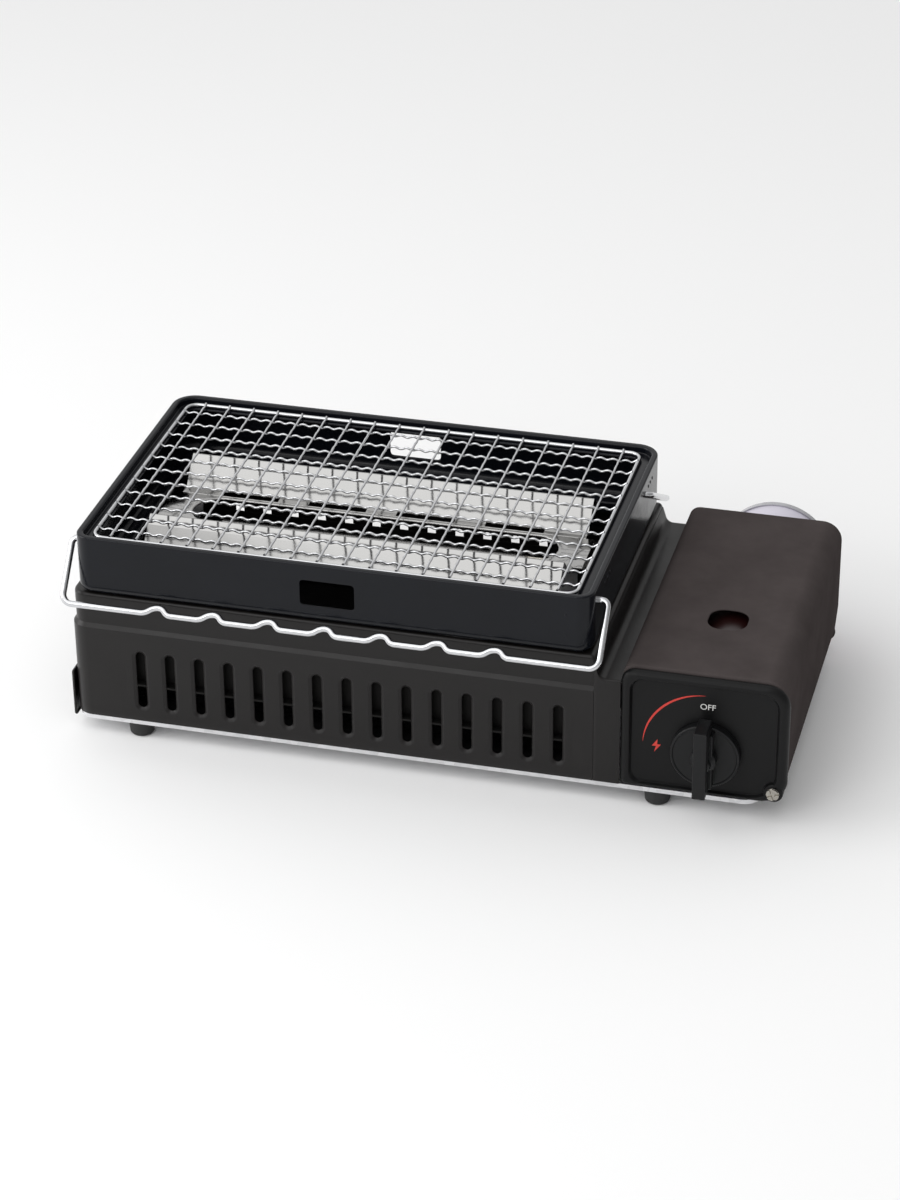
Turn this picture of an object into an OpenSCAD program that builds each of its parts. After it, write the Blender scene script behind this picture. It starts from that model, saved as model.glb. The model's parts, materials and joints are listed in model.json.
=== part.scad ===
// Cassette gas grill: fire box with a lift-off frame and net on the left, gas bay on the right.
// Millimetres. +X is right, +Y is back, +Z is up, and the table is at Z = 0.
// Inside the modules X and Y are counted from the middle of the top frame.

/* [Casing] */
// Height of the rubber feet, from the table to the base plate
foot_h = 11.3; // [9:0.1:14]
// Width of a foot at its top
foot_d = 14; // [11:0.5:15]
// Sheet thickness of the casing, deck and base plate
sheet_t = 1.2; // [0.8:0.1:1.4]
// Height of the casing from base plate to rim
body_h = 81.5; // [79:0.5:88]
// Radius of the casing's upright corners
body_corner_r = 11; // [9:0.5:13]
// How far the casing's left wall stands out past the frame
left_ledge = 7; // [6:0.5:10]
// Height of the pressed step line above the base plate
step_lift = 59; // [56:0.5:62]
// Height of the slanted band of the step line
step_h = 4; // [3:0.5:6]
// How far the step sets the upper band in
step_in = 1; // [0.6:0.1:1.4]
// Height of the base plate's folded edge
base_edge_h = 2.9; // [2:0.1:4]

/* [Air slots] */
// Number of slots in the front wall, and in the back wall
slot_count = 15; // [11:1:15]
// Distance from slot to slot
slot_pitch = 17.9; // [16:0.1:18.5]
// Middle of the row, right of the frame's middle
slot_shift = 8; // [0:0.5:9]
// Width of a slot
slot_w = 5.2; // [4:0.1:7]
// Height of a slot
slot_h = 37; // [30:0.5:40]
// Height of the slot's lower end above the base plate
slot_lift = 9; // [7:0.5:12]

/* [Top frame] */
// Outside width of the frame
frame_w = 306; // [296:1:316]
// Outside depth of the frame
frame_d = 192; // [186:1:200]
// Height of the frame above the casing's rim
frame_h = 37.5; // [34:0.5:42]
// Outside corner radius of the frame
frame_corner_r = 13; // [12.5:0.5:18]
// Sheet thickness of the frame
frame_t = 1.2; // [0.8:0.1:1.3]
// Width of the rolled rim
rim_w = 4; // [3.6:0.1:4.6]
// Radius of the tucked-in lower edge
tuck_r = 6; // [4:0.5:7]
// Width of the flat that stands on the casing
seat_w = 3.5; // [2.5:0.1:3.8]
// Depth of the skirt inside the casing's opening
skirt_h = 6; // [4:0.5:8]
// Depth of the net ledge below the rim
ledge_drop = 4.5; // [3.5:0.1:6]
// Width of the net ledge
ledge_w = 8; // [7:0.1:9]
// Width of the window in the front and in the back
window_w = 32; // [20:1:44]
// Height of the window
window_h = 16; // [10:0.5:18]
// Height of the window's lower edge above the casing's rim
window_lift = 11; // [9:0.5:12]

/* [Grill net] */
// Gap between the net's border and the frame's rim
net_gap_x = 5.8; // [4:0.1:6.2]
// Gap between the net's border and the rim, front and back
net_gap_y = 3.3; // [3:0.1:5]
// Corner radius of the border, at the middle of the wire
net_corner_r = 7; // [5:0.5:9]
// Border wire diameter
border_d = 2.8; // [2.2:0.1:3.2]
// Net wire diameter
net_wire_d = 1.8; // [1.4:0.1:2.2]
// Distance from the border to the first net wire, middle to middle
net_end = 10.2; // [8:0.1:12]
// Number of wires that run front to back
depth_wires = 18; // [15:1:18]
// Number of wires that run left to right
cross_wires = 11; // [9:1:11]

/* [Skewer rests] */
// Wire diameter
rest_wire_d = 3.2; // [2.6:0.1:3.6]
// Distance from the front bail's pivot to its run
rest_arm = 39.4; // [38:0.1:41]
// Angle of the front arms below level when folded down, degrees
rest_tilt = 50.7; // [46:0.1:53]
// Front pivot behind the frame's front face
rest_pivot_in = 16; // [15:0.5:17]
// Distance from the rear bail's pivot to its run
rear_arm = 64; // [63:0.1:66]
// Angle of the rear arms below level when folded down, degrees
rear_tilt = 29; // [26:0.1:30]
// Rear pivot before the frame's back face
rear_pivot_in = 46; // [44:0.5:47]
// Pivot below the frame's rim
rest_pivot_drop = 9.5; // [9:0.1:11]
// Distance of the arm from the frame's side
rest_reach = 5.5; // [5:0.1:8]
// Number of humps in the run
rest_humps = 7; // [3:1:7]
// Distance from hump to hump
hump_pitch = 33.4; // [28:0.1:36]
// Height of a hump
hump_h = 3.9; // [2.5:0.1:5]
// Width of a hump at its foot
hump_w = 18; // [14:0.5:22]

/* [Radiant plate and burner] */
// Distance from the frame's side to the radiant plate's end
plate_gap = 28; // [25:0.5:30]
// Sheet thickness of the plate
plate_t = 0.9; // [0.6:0.1:1.2]
// Height of the ridges above the plate's floor
ridge_h = 15.5; // [13:0.5:17]
// Distance from the middle to a ridge
ridge_y = 40; // [39:0.5:42]
// Width of a ridge at its foot
ridge_w = 31; // [28:0.5:32]
// Plate floor above the casing's rim
plate_lift = 11.5; // [10:0.5:13]
// Width of the long slot in the plate's floor
plate_slot_w = 30; // [24:0.5:32]
// Floor left beyond each end of the long slot
plate_slot_end = 13; // [11:0.5:16]
// Burner tube diameter
burner_d = 22; // [18:0.5:23]
// Burner tube length
burner_l = 187; // [180:1:194]
// Middle of the burner, left of the frame's middle
burner_shift = 3; // [0:0.5:5]
// Gap between the burner's top and the plate's floor
burner_drop = 6.5; // [5:0.5:8]
// Mixing tube diameter
mix_d = 16; // [12:0.5:17]
// Mixing tube wall
mix_t = 1; // [0.8:0.1:1.4]

/* [Drip tray] */
// Height of the tray
tray_h = 22; // [16:0.5:23]
// Sheet thickness of the tray
tray_t = 1; // [0.8:0.1:1.3]
// Gap between the tray and the casing's front and back walls
tray_side_gap = 12.8; // [12.5:0.1:15]
// Height of the facia
facia_h = 32; // [30:0.5:34]
// Thickness of the facia
facia_t = 2; // [1.2:0.1:3]

/* [Gas bay] */
// Width of the deck from the casing's seam to the panel
deck_w = 15.4; // [14.5:0.1:18]
// Depth of the deck's floor below the casing's rim
deck_drop = 12.5; // [11:0.5:14]
// Width of the control panel
panel_w = 96.5; // [94:0.5:102]
// Height of the control panel
panel_h = 75.5; // [73:0.5:80]
// Panel's lower edge above the base plate
panel_lift = 0.7; // [0.5:0.1:2]
// Thickness of the panel's face
panel_t = 2.2; // [1.6:0.1:2.6]
// Height of the bezel above the panel's face
bezel_rise = 1.4; // [0.8:0.1:2]
// Width of the bezel
bezel_w = 6.8; // [5:0.1:8]
// Least height of the lid's top above the deck's floor
lid_rise = 9.2; // [8.6:0.1:12]
// Sheet thickness of the lid
lid_t = 1; // [0.8:0.1:1.3]
// Bend radius of the lid's right edge
lid_bend_r = 13; // [10:0.5:15]
// Lid's hinge axis, left of the panel's right edge
hinge_in = 7.5; // [7:0.1:9]
// Lid's hinge axis above the base plate
hinge_lift = 7.7; // [7.4:0.1:8.4]
// Hinge pin diameter
hinge_d = 4; // [3:0.1:4.6]
// Width and depth of the sight hole in the lid
sight_w = 22.7; // [16:0.1:26]
// Middle of the sight hole right of the panel's left edge
sight_in = 48.8; // [45:0.1:52]
// Middle of the sight hole behind the panel
sight_back = 63; // [50:0.5:80]

/* [Canister] */
// Canister body diameter
can_d = 66; // [64:0.1:67]
// Canister length from collar to rear rim
can_l = 186; // [180:0.5:192]
// Width of the seam on the rear rim, beyond the body
can_rim = 1; // [0.6:0.1:1.4]
// Canister axis right of the panel's left edge
can_in = 51; // [49:0.1:53]
// Room between the canister and the lid
can_room = 4.6; // [4:0.1:6]
// Height of the cradle under the canister
cradle_h = 6.2; // [5:0.1:7]
// Distance from the panel's back to the canister's collar
valve_room = 33.8; // [33:0.1:36]

/* [Knob and igniter] */
// Diameter of the knob's disc
knob_d = 40; // [32:0.5:42]
// Thickness of the knob's disc
knob_t = 5; // [3.5:0.5:7]
// Width of the grip bar
grip_w = 7.5; // [6:0.5:10]
// Length of the grip bar
grip_l = 43; // [38:0.5:46]
// Middle of the grip bar above the knob's axis
grip_up = 3; // [0:0.5:4]
// Height of the grip bar above the disc
grip_h = 16.5; // [12:0.5:20]
// Knob axis right of the panel's left edge
knob_in = 49.8; // [48:0.1:52]
// Knob axis above the base plate
knob_lift = 28.5; // [27:0.1:30]
// Knob shaft diameter
shaft_d = 6; // [5:0.1:7]
// Least radius of the igniter's cam
cam_r = 9; // [7.5:0.1:10]
// Rise of the cam over the knob's turn
cam_rise = 5; // [3:0.1:6]
// Igniter plunger diameter
plunger_d = 4; // [3:0.1:5]

/* [Hidden] */
$fn = 64;

// Clearances
seam_gap = 0.1;
run_gap = 0.05;
slide_gap = 0.4;
skirt_gap = 0.5;
pass_gap = 0.6;
lid_gap = 0.6;

// Heights
base_z = foot_h + sheet_t;
rim_z = base_z + body_h;
frame_top_z = rim_z + frame_h;
ledge_z = frame_top_z - ledge_drop;
step_z = base_z + step_lift;
deck_z = rim_z - deck_drop;
plate_z = rim_z + plate_lift;
plate_l = frame_w - 2 * plate_gap;

// Fire box: half sizes of the frame and places of the casing's walls
half_w = frame_w / 2;
half_d = frame_d / 2;
wall_y = half_d + step_in;
inner_y = wall_y - sheet_t;
body_left = -(half_w + left_ledge);
inner_left = body_left + sheet_t;
seam_x = half_w + sheet_t;
skirt_in = tuck_r + seat_w;
opening_in = skirt_in - skirt_gap;
lip_r = 1.2;

// Gas bay
panel_left = seam_x + deck_w;
panel_right = panel_left + panel_w;
panel_z = base_z + panel_lift;
panel_top = panel_z + panel_h;
panel_face = -half_d;
panel_back = panel_face + panel_t;
bezel_face = panel_face - bezel_rise;
bay_wall_x = panel_left + 5.2;
bay_x = bay_wall_x + sheet_t;
hinge_x = panel_right - hinge_in;
hinge_z = base_z + hinge_lift;
hinge_r = hinge_d / 2;
ear_r = 0.75 * hinge_lift;
bracket_r = ear_r - 1.6;
base_right = hinge_x - ear_r - 1.7;
lid_left = panel_left + pass_gap;
lid_right = hinge_x + 0.8 * ear_r;
lid_front = panel_back + lid_gap;
lid_rear = wall_y + 3;
lid_bottom = hinge_z + 3;
rear_ear_y = wall_y - 7.4;

// Canister and governor
can_r = can_d / 2;
can_x = panel_left + can_in;
can_z = base_z + cradle_h + can_r + slide_gap;
can_front = panel_back + valve_room;
lid_top = max(deck_z + lid_rise, can_z + can_r + can_room + lid_t);
can_rear = can_front + can_l;
can_seam_h = 3.5;
collar_r = 19;
collar_t = 2;
notch_w = 6;
notch_h = 4;
stem_r = 2.1;
stem_l = 5;
valve_x = can_x - 20;
cam_t = 3;
cam_y = panel_back + 3.3;
plunger_r = plunger_d / 2;
plunger_y = cam_y + cam_t / 2;
valve_front = plunger_y + plunger_r + pass_gap;
valve_back = can_front - 6;
valve_mid = (valve_front + valve_back) / 2;
valve_h = can_z + 18;

// Knob, cam and plunger
knob_x = panel_left + knob_in;
knob_z = base_z + knob_lift;
knob_y = panel_face - lid_gap;
disc_y = knob_y - knob_t;
grip_y = disc_y - grip_h;
shaft_r = shaft_d / 2;
knob_turn = 90;
plunger_x = knob_x - cam_r - plunger_r - slide_gap;
plunger_grip = 7;
igniter_x = plunger_x - 10;
igniter_l = 21;
igniter_back = valve_front - pass_gap;

// Skewer rests
rest_r = rest_wire_d / 2;
rest_y = half_d - rest_pivot_in;
rear_y = half_d - rear_pivot_in;
rest_z = frame_top_z - rest_pivot_drop;
rest_x = half_w + rest_reach;
rest_bend_r = 4;
rest_corner_r = 6;
rest_stub_in = 5;
hump_turn = 2 * atan(2 * hump_h / hump_w);
hump_r = hump_w / (4 * sin(hump_turn));

// Net: middle lines of the border and the two layers of wire
border_r = border_d / 2;
net_wire_r = net_wire_d / 2;
net_x = half_w - rim_w - net_gap_x - border_r;
net_y = half_d - rim_w - net_gap_y - border_r;
net_z = ledge_z + border_r;
net_layer = net_wire_r + run_gap;
depth_pitch = 2 * (net_x - net_end) / (depth_wires - 1);
cross_pitch = 2 * (net_y - net_end) / (cross_wires - 1);

// Burner, mixing tube and brackets
burner_r = burner_d / 2;
burner_z = plate_z - plate_t - burner_drop - burner_r;
burner_left = -burner_shift - burner_l / 2;
burner_right = burner_left + burner_l;
mix_r = mix_d / 2;
mix_y = valve_mid;
mix_z = can_z + 6;
mix_x = burner_right - 50;
mix_bend_r = 20;
mix_rise_r = 16;
mix_inlet = bay_x + 8;
strap_z = burner_z - burner_r - 6;
strap_w = 30;
saddle_w = 26;
saddle_in = 9;
support_w = 56;
support_x = plate_l / 2 - 7;

// Spark electrode beside the burner
spark_y = burner_r + 5;
spark_z = burner_z + 2;
spark_tip = burner_right - saddle_in + 2.5;
spark_end = support_x + 12;
insulator_r = 3.5;
electrode_r = 1;

// Ignition lead, from the electrode's end to the back of the igniter
lead_r = 1.25;
lead_hole = [bay_x, panel_back + 43.8, deck_z - 19.5];
lead_end_x = igniter_x - 14;
lead_route = [
    [spark_end + slide_gap, spark_y, spark_z],
    [spark_end + 7, spark_y, spark_z],
    [seam_x - 6, 0, deck_z - 2.5],
    [seam_x + 4, lead_hole[1] + 22, lead_hole[2] + 5],
    lead_hole - [8, -3, 0],
    lead_hole + [2, -2, -1],
    [lead_end_x, lead_hole[1] - 14, knob_z + 9],
    [lead_end_x, lead_hole[1] - 24, knob_z + 3],
    [lead_end_x, igniter_back + 6, knob_z],
    [lead_end_x, igniter_back + slide_gap, knob_z]
];

// Drip tray
tray_y = inner_y - tray_side_gap;
tray_left = body_left - slide_gap;
tray_right = half_w - 13;
tray_z = base_z + slide_gap;
tray_door_h = tray_h + slide_gap + 2;
facia_y = tray_y + 5;
facia_z = base_z + tray_door_h + 4 - facia_h;

// Heat shields and feet
shield_out = 7;
shield_z = base_z + tray_h + slide_gap + 0.6;
shield_h = 21;
foot_r = foot_d / 2;
foot_x = [body_left + 39.4, panel_left + 21];
foot_y = wall_y - foot_r - 1.9;
foot_recess = 4.5;
screw_r = 2;

// The origin is under the middle of the whole grill
shift_x = -(min(tray_left - facia_t, -rest_x - rest_r) + panel_right) / 2;
shift_y = -(grip_y + can_rear) / 2;

// Points of an arc
function arc(x, y, r, a0, a1, n = 8) =
    [for (i = [0:n]) let(a = a0 + (a1 - a0) * i / n) [x + r * cos(a), y + r * sin(a)]];

// Outline of a rectangle with its own radius at each corner, from bottom left anticlockwise
function rounded(x0, y0, x1, y1, r) = concat(
    arc(x0 + r[0], y0 + r[0], r[0], 180, 270), arc(x1 - r[1], y0 + r[1], r[1], 270, 360),
    arc(x1 - r[2], y1 - r[2], r[2], 0, 90), arc(x0 + r[3], y1 - r[3], r[3], 90, 180));

// Outline of a bent sheet: a path, and the same path set off to its left by the thickness
function unit(v) = v / norm(v);
function left_normal(a, b) = let(d = unit(b - a)) [-d[1], d[0]];
function path_normal(p, i) = let(
    n0 = left_normal(p[max(i - 1, 0)], p[max(i, 1)]),
    n1 = left_normal(p[min(i, len(p) - 2)], p[min(i + 1, len(p) - 1)])
) (n0 + n1) / (1 + n0 * n1);
function sheet(p, t) = concat(p, [for (i = [len(p) - 1:-1:0]) p[i] + t * path_normal(p, i)]);

// Smooth curve through the points of a route
function between(a, b, c, d, t) = 0.5 * (2 * b + (c - a) * t
    + (2 * a - 5 * b + 4 * c - d) * t * t + (3 * b - a - 3 * c + d) * t * t * t);
function smooth(p, n) = concat([
    for (i = [0:len(p) - 2]) for (k = [0:n - 1])
        between(p[max(i - 1, 0)], p[i], p[i + 1], p[min(i + 2, len(p) - 1)], k / n)
], [p[len(p) - 1]]);

module place() translate([shift_x, shift_y, 0]) children();

// Round bars along each axis
module rod_x(x0, x1, y, z, r) translate([x0, y, z]) rotate([0, 90, 0]) cylinder(r = r, h = x1 - x0);
module rod_y(x, y0, y1, z, r) translate([x, y1, z]) rotate([90, 0, 0]) cylinder(r = r, h = y1 - y0);
module rod_z(x, y, z0, z1, r) translate([x, y, z0]) cylinder(r = r, h = z1 - z0);

// Plates cut from a flat outline, upright along X or along Y
module plate_xz(y0, y1) translate([0, y1, 0]) rotate([90, 0, 0]) linear_extrude(y1 - y0) children();
module plate_yz(x0, x1) translate([x0, 0, 0]) rotate([90, 0, 90]) linear_extrude(x1 - x0) children();
module box(x0, x1, y0, y1, z0, z1) translate([x0, y0, z0]) cube([x1 - x0, y1 - y0, z1 - z0]);

// Solid turned about the canister's axis, its outline given as [radius, Y]
module turned(points) translate([can_x, 0, can_z]) rotate([-90, 0, 0]) rotate_extrude() polygon(points);

// Wire or lead swept along a path that never runs straight up
module tube(path, r, sides) {
    last = len(path) - 1;
    points = [for (i = [0:last]) let(
        along = unit(path[min(i + 1, last)] - path[max(i - 1, 0)]),
        across = unit(cross(along, [0, 0, 1])),
        up = cross(across, along)
    ) for (k = [0:sides - 1]) path[i] + r * (cos(360 * k / sides) * across + sin(360 * k / sides) * up)];
    start = [for (k = [1:sides - 2]) [0, k, k + 1]];
    end = [for (k = [1:sides - 2]) [0, k + 1, k] + last * sides * [1, 1, 1]];
    skin = [for (i = [0:last - 1]) for (k = [0:sides - 1])
        let(a = i * sides + k, b = i * sides + (k + 1) % sides)
            each [[a, a + sides, b], [b, a + sides, b + sides]]];
    polyhedron(points, concat(start, end, skin));
}

module round_rect(x0, y0, x1, y1, r) {
    translate([x0 + r, y0]) square([x1 - x0 - 2 * r, y1 - y0]);
    translate([x0, y0 + r]) square([x1 - x0, y1 - y0 - 2 * r]);
    for (x = [x0 + r, x1 - r], y = [y0 + r, y1 - r]) translate([x, y]) circle(r);
}

// Sweeps an outline of [inset, height] points round a rounded rectangle
module ring(x0, x1, hy, r, outline) {
    mid = (x0 + x1) / 2;
    long = x1 - x0 - 2 * r;
    deep = 2 * (hy - r);
    for (a = [0, 180]) translate([mid, 0, 0]) rotate([0, 0, a]) {
        translate([-long / 2, -hy, 0]) rotate([90, 0, 90]) linear_extrude(long) polygon(outline);
        rotate([0, 0, 90]) translate([-deep / 2, -(long / 2 + r), 0]) rotate([90, 0, 90])
            linear_extrude(deep) polygon(outline);
        for (s = [0, 1]) translate([s == 0 ? long / 2 : -long / 2, deep / 2, 0]) rotate([0, 0, 90 * s])
            rotate_extrude(angle = 90) polygon([for (p = outline) [r - p[0], p[1]]]);
    }
}

// Opening in the casing's top that the frame's skirt drops into
module fire_opening() round_rect(-half_w + opening_in, -half_d + opening_in, half_w - opening_in,
    half_d - opening_in, frame_corner_r - opening_in);

module air_slots() for (i = [0:slot_count - 1])
    translate([slot_shift + (i - (slot_count - 1) / 2) * slot_pitch, base_z + slot_lift + slot_w / 2]) {
        translate([-slot_w / 2, 0]) square([slot_w, slot_h - slot_w]);
        for (y = [0, slot_h - slot_w]) translate([0, y]) circle(slot_w / 2);
    }

// Galvanised plate with an edge folded down all round
module base_plate() color("gainsboro") place() {
    edge = wall_y - 0.5;
    left = body_left + 0.5;
    difference() {
        translate([0, 0, base_z - base_edge_h]) linear_extrude(base_edge_h)
            round_rect(left, -edge, base_right, edge, body_corner_r);
        translate([0, 0, base_z - base_edge_h - 1]) linear_extrude(base_edge_h - sheet_t + 1)
            round_rect(left + sheet_t, -edge + sheet_t, base_right - sheet_t, edge - sheet_t,
                body_corner_r - sheet_t);
        for (x = foot_x, y = [-foot_y, foot_y]) rod_z(x, y, foot_h - 1, base_z + 1, screw_r + seam_gap);
    }
}

// Front, left and back walls with the rim that carries the frame
module body_shell() color([0.16, 0.15, 0.15]) place() {
    top = rim_z - sheet_t;
    right = seam_x + 2 * body_corner_r;
    outline = concat(
        [[0, base_z], [0, step_z], [step_in, step_z + step_h]],
        arc(step_in + lip_r, rim_z - lip_r, lip_r, 180, 90, 4),
        [[step_in + 2 * lip_r, rim_z], [step_in + 2 * lip_r, top], [step_in + sheet_t, top],
        [step_in + sheet_t, step_z + step_h], [sheet_t, step_z], [sheet_t, base_z]]);
    rim = step_in + lip_r;
    difference() {
        union() {
            ring(body_left, right, wall_y, body_corner_r, outline);
            translate([0, 0, top]) linear_extrude(sheet_t) difference() {
                round_rect(body_left + rim, -wall_y + rim, right, wall_y - rim, body_corner_r - rim);
                fire_opening();
            }
        }
        box(seam_x, right + 1, -wall_y - 1, wall_y + 1, base_z - 1, rim_z + 1);
        box(body_left - 1, body_left + body_corner_r, -tray_y - pass_gap, tray_y + pass_gap,
            base_z - 1, base_z + tray_door_h);
        plate_xz(-wall_y - 1, wall_y + 1) air_slots();
    }
}

// Sheet between fire box and gas bay: sunk channel, bay wall, and the front and back faces
module side_deck() color([0.15, 0.14, 0.14]) place() {
    left = seam_x + seam_gap;
    fall_turn = 80;
    top_r = 2;
    heel_r = 3;
    slope = (deck_drop - (top_r + heel_r) * (1 - cos(fall_turn))) / sin(fall_turn);
    fall_x = left + 0.5;
    heel_x = fall_x + (top_r + heel_r) * sin(fall_turn) + slope * cos(fall_turn);
    fall = concat(arc(fall_x, rim_z - top_r, top_r, 90, 90 - fall_turn),
        arc(heel_x, deck_z + heel_r, heel_r, 270 - fall_turn, 270));
    top = concat([[left, rim_z]], fall, [[bay_x, deck_z], [bay_x, base_z]]);
    face = concat([[left, base_z], [panel_left - seam_gap, base_z], [panel_left - seam_gap, deck_z]],
        [for (i = [len(fall) - 1:-1:0]) fall[i]], [[left, rim_z]]);
    difference() {
        union() {
            plate_xz(-inner_y, inner_y) polygon(sheet(top, -sheet_t));
            for (y = [-wall_y, inner_y]) plate_xz(y, y + sheet_t) polygon(face);
        }
        box(panel_left - seam_gap, bay_x + 1, -wall_y - 1, panel_back + seam_gap, base_z - 1, rim_z);
        rod_x(bay_wall_x - 1, bay_x + 1, mix_y, mix_z, mix_r + pass_gap);
        rod_x(bay_wall_x - 1, bay_x + 1, lead_hole[1], lead_hole[2], 2 * lead_r);
    }
}

// Front plate of the gas bay: rounded bezel, sunk face, hinge ear and a foot on the base plate
module control_panel() color([0.13, 0.13, 0.13]) place() {
    difference() {
        union() {
            plate_xz(bezel_face, panel_back) union() {
                polygon(rounded(panel_left, panel_z, panel_right, panel_top, [1, ear_r + 8, lid_bend_r, 8]));
                translate([hinge_x - ear_r, hinge_z - ear_r]) square([ear_r, ear_r]);
                translate([hinge_x, hinge_z]) circle(ear_r);
            }
            box(panel_left + 4, base_right - 1, panel_back - sheet_t, panel_back, base_z, panel_z + 1);
        }
        plate_xz(bezel_face - 1, panel_face) polygon(rounded(panel_left + bezel_w, panel_z + bezel_w - 4,
            panel_right - bezel_w, panel_top - bezel_w + 2, [8, 16, 10, 8]));
        rod_y(knob_x, bezel_face - 1, panel_back + 1, knob_z, shaft_r + run_gap);
        rod_y(hinge_x, bezel_face - 1, panel_back + 1, hinge_z, hinge_r + run_gap);
    }
}

// Upright ear at the back of the base plate for the lid's rear rivet
module rear_hinge_bracket() color("silver") place() {
    y0 = rear_ear_y - slide_gap - sheet_t;
    tab_x = base_right - 8;
    tab_l = 8;
    difference() {
        union() {
            box(tab_x, base_right - 1, y0 - tab_l, y0 + sheet_t, base_z, base_z + sheet_t);
            plate_xz(y0, y0 + sheet_t) union() {
                translate([tab_x, base_z]) square([hinge_x - tab_x, hinge_lift + bracket_r]);
                translate([hinge_x, hinge_z]) circle(bracket_r);
            }
        }
        rod_y(hinge_x, y0 - 1, y0 + sheet_t + 1, hinge_z, hinge_r + run_gap);
    }
}

// Screw through the panel's ear and rivet through the rear ear
module lid_hinge_pins() color("lightgray") place() {
    head_r = 1.9 * hinge_r;
    head_t = 1.6;
    front_end = lid_front + sheet_t + head_t;
    rear_start = rear_ear_y - slide_gap - sheet_t;
    rear_end = rear_ear_y + sheet_t + slide_gap;
    rod_y(hinge_x, bezel_face, front_end, hinge_z, hinge_r);
    rod_y(hinge_x, bezel_face - head_t, bezel_face, hinge_z, head_r);
    rod_y(hinge_x, rear_start, rear_end, hinge_z, hinge_r);
    rod_y(hinge_x, rear_start - head_t, rear_start, hinge_z, head_r);
    rod_y(hinge_x, rear_end, rear_end + head_t, hinge_z, head_r);
}

// Tapered rubber foot with a recess for its screw
module foot(x, y) color([0.1, 0.1, 0.1]) place() difference() {
    translate([x, y, 0]) cylinder(r1 = 0.78 * foot_r, r2 = foot_r, h = foot_h);
    rod_z(x, y, -1, foot_recess, screw_r + 1.8);
    rod_z(x, y, 0, foot_h + 1, screw_r + seam_gap);
}
module foot_front_left() foot(foot_x[0], -foot_y);
module foot_rear_left() foot(foot_x[0], foot_y);
module foot_front_right() foot(foot_x[1], -foot_y);
module foot_rear_right() foot(foot_x[1], foot_y);

module foot_screws() color("silver") place() for (x = foot_x, y = [-foot_y, foot_y]) {
    rod_z(x, y, foot_recess - 2, foot_recess, screw_r + 1.5);
    rod_z(x, y, foot_recess, base_z + 1.5, screw_r);
}

// Strip inside a slotted wall, on a flange spot-welded to the wall
module heat_shield() plate_yz(body_left + 30, half_w - 13) {
    translate([-inner_y, shield_z]) square([shield_out, sheet_t]);
    translate([-inner_y + shield_out - sheet_t, shield_z]) square([sheet_t, shield_h]);
}
module front_heat_shield() color("dimgray") place() heat_shield();
module rear_heat_shield() color("dimgray") place() mirror([0, 1, 0]) heat_shield();

// Closed tube with two rows of flame ports and an inlet in its underside
module burner_tube() color("darkgray") place() {
    wall = 1;
    port_pitch = 8;
    ports = floor((burner_l - 20) / port_pitch);
    difference() {
        rod_x(burner_left, burner_right, 0, burner_z, burner_r);
        rod_x(burner_left + 2, burner_right - 2, 0, burner_z, burner_r - wall);
        rod_z(mix_x, 0, burner_z - burner_r - 1, burner_z, mix_r - mix_t);
        for (i = [0:ports], side = [-40, 40])
            translate([burner_left + 10 + i * port_pitch, 0, burner_z]) rotate([side, 0, 0])
                cylinder(r = 0.9, h = burner_r + 1);
    }
}

// Tube from the air inlet in the gas bay to the burner's underside, with two bends
module mix_section() difference() {
    circle(mix_r);
    circle(mix_r - mix_t);
}
module mixing_tube() color("silver") place() {
    difference() {
        union() {
            translate([mix_x + mix_bend_r, mix_y, mix_z]) rotate([0, 90, 0])
                linear_extrude(mix_inlet - mix_x - mix_bend_r) mix_section();
            translate([mix_x + mix_bend_r, mix_y + mix_bend_r, mix_z]) rotate([0, 0, 180])
                rotate_extrude(angle = 90) translate([mix_bend_r, 0]) mix_section();
            translate([mix_x, -mix_rise_r, mix_z]) rotate([90, 0, 0])
                linear_extrude(-mix_rise_r - mix_y - mix_bend_r) mix_section();
            translate([mix_x, -mix_rise_r, mix_z + mix_rise_r]) rotate([90, 0, 90]) rotate([0, 0, -90])
                rotate_extrude(angle = 90) translate([mix_rise_r, 0]) mix_section();
            translate([mix_x, 0, mix_z + mix_rise_r])
                linear_extrude(burner_z - mix_z - mix_rise_r) mix_section();
        }
        rod_x(burner_left, burner_right, 0, burner_z, burner_r + run_gap);
    }
}

// Collar on the inlet of the mixing tube, with an air window
module air_shutter() color("goldenrod") place() difference() {
    rod_x(bay_x + 1.4, mix_inlet - 0.3, mix_y, mix_z, mix_r + 1.4);
    rod_x(bay_x, mix_inlet, mix_y, mix_z, mix_r + run_gap);
    box(bay_x + 3, mix_inlet - 2, mix_y - 4, mix_y + 4, mix_z, mix_z + mix_r + 3);
}

// Gas jet in the governor's side, aimed into the mixing tube
module gas_nozzle() color("goldenrod") place() {
    tip = mix_inlet + 2;
    rod_x(tip + 4, valve_x, mix_y, mix_z, 5);
    translate([tip, mix_y, mix_z]) rotate([0, 90, 0]) cylinder(r1 = 1.6, r2 = 3.4, h = 4);
}

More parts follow.
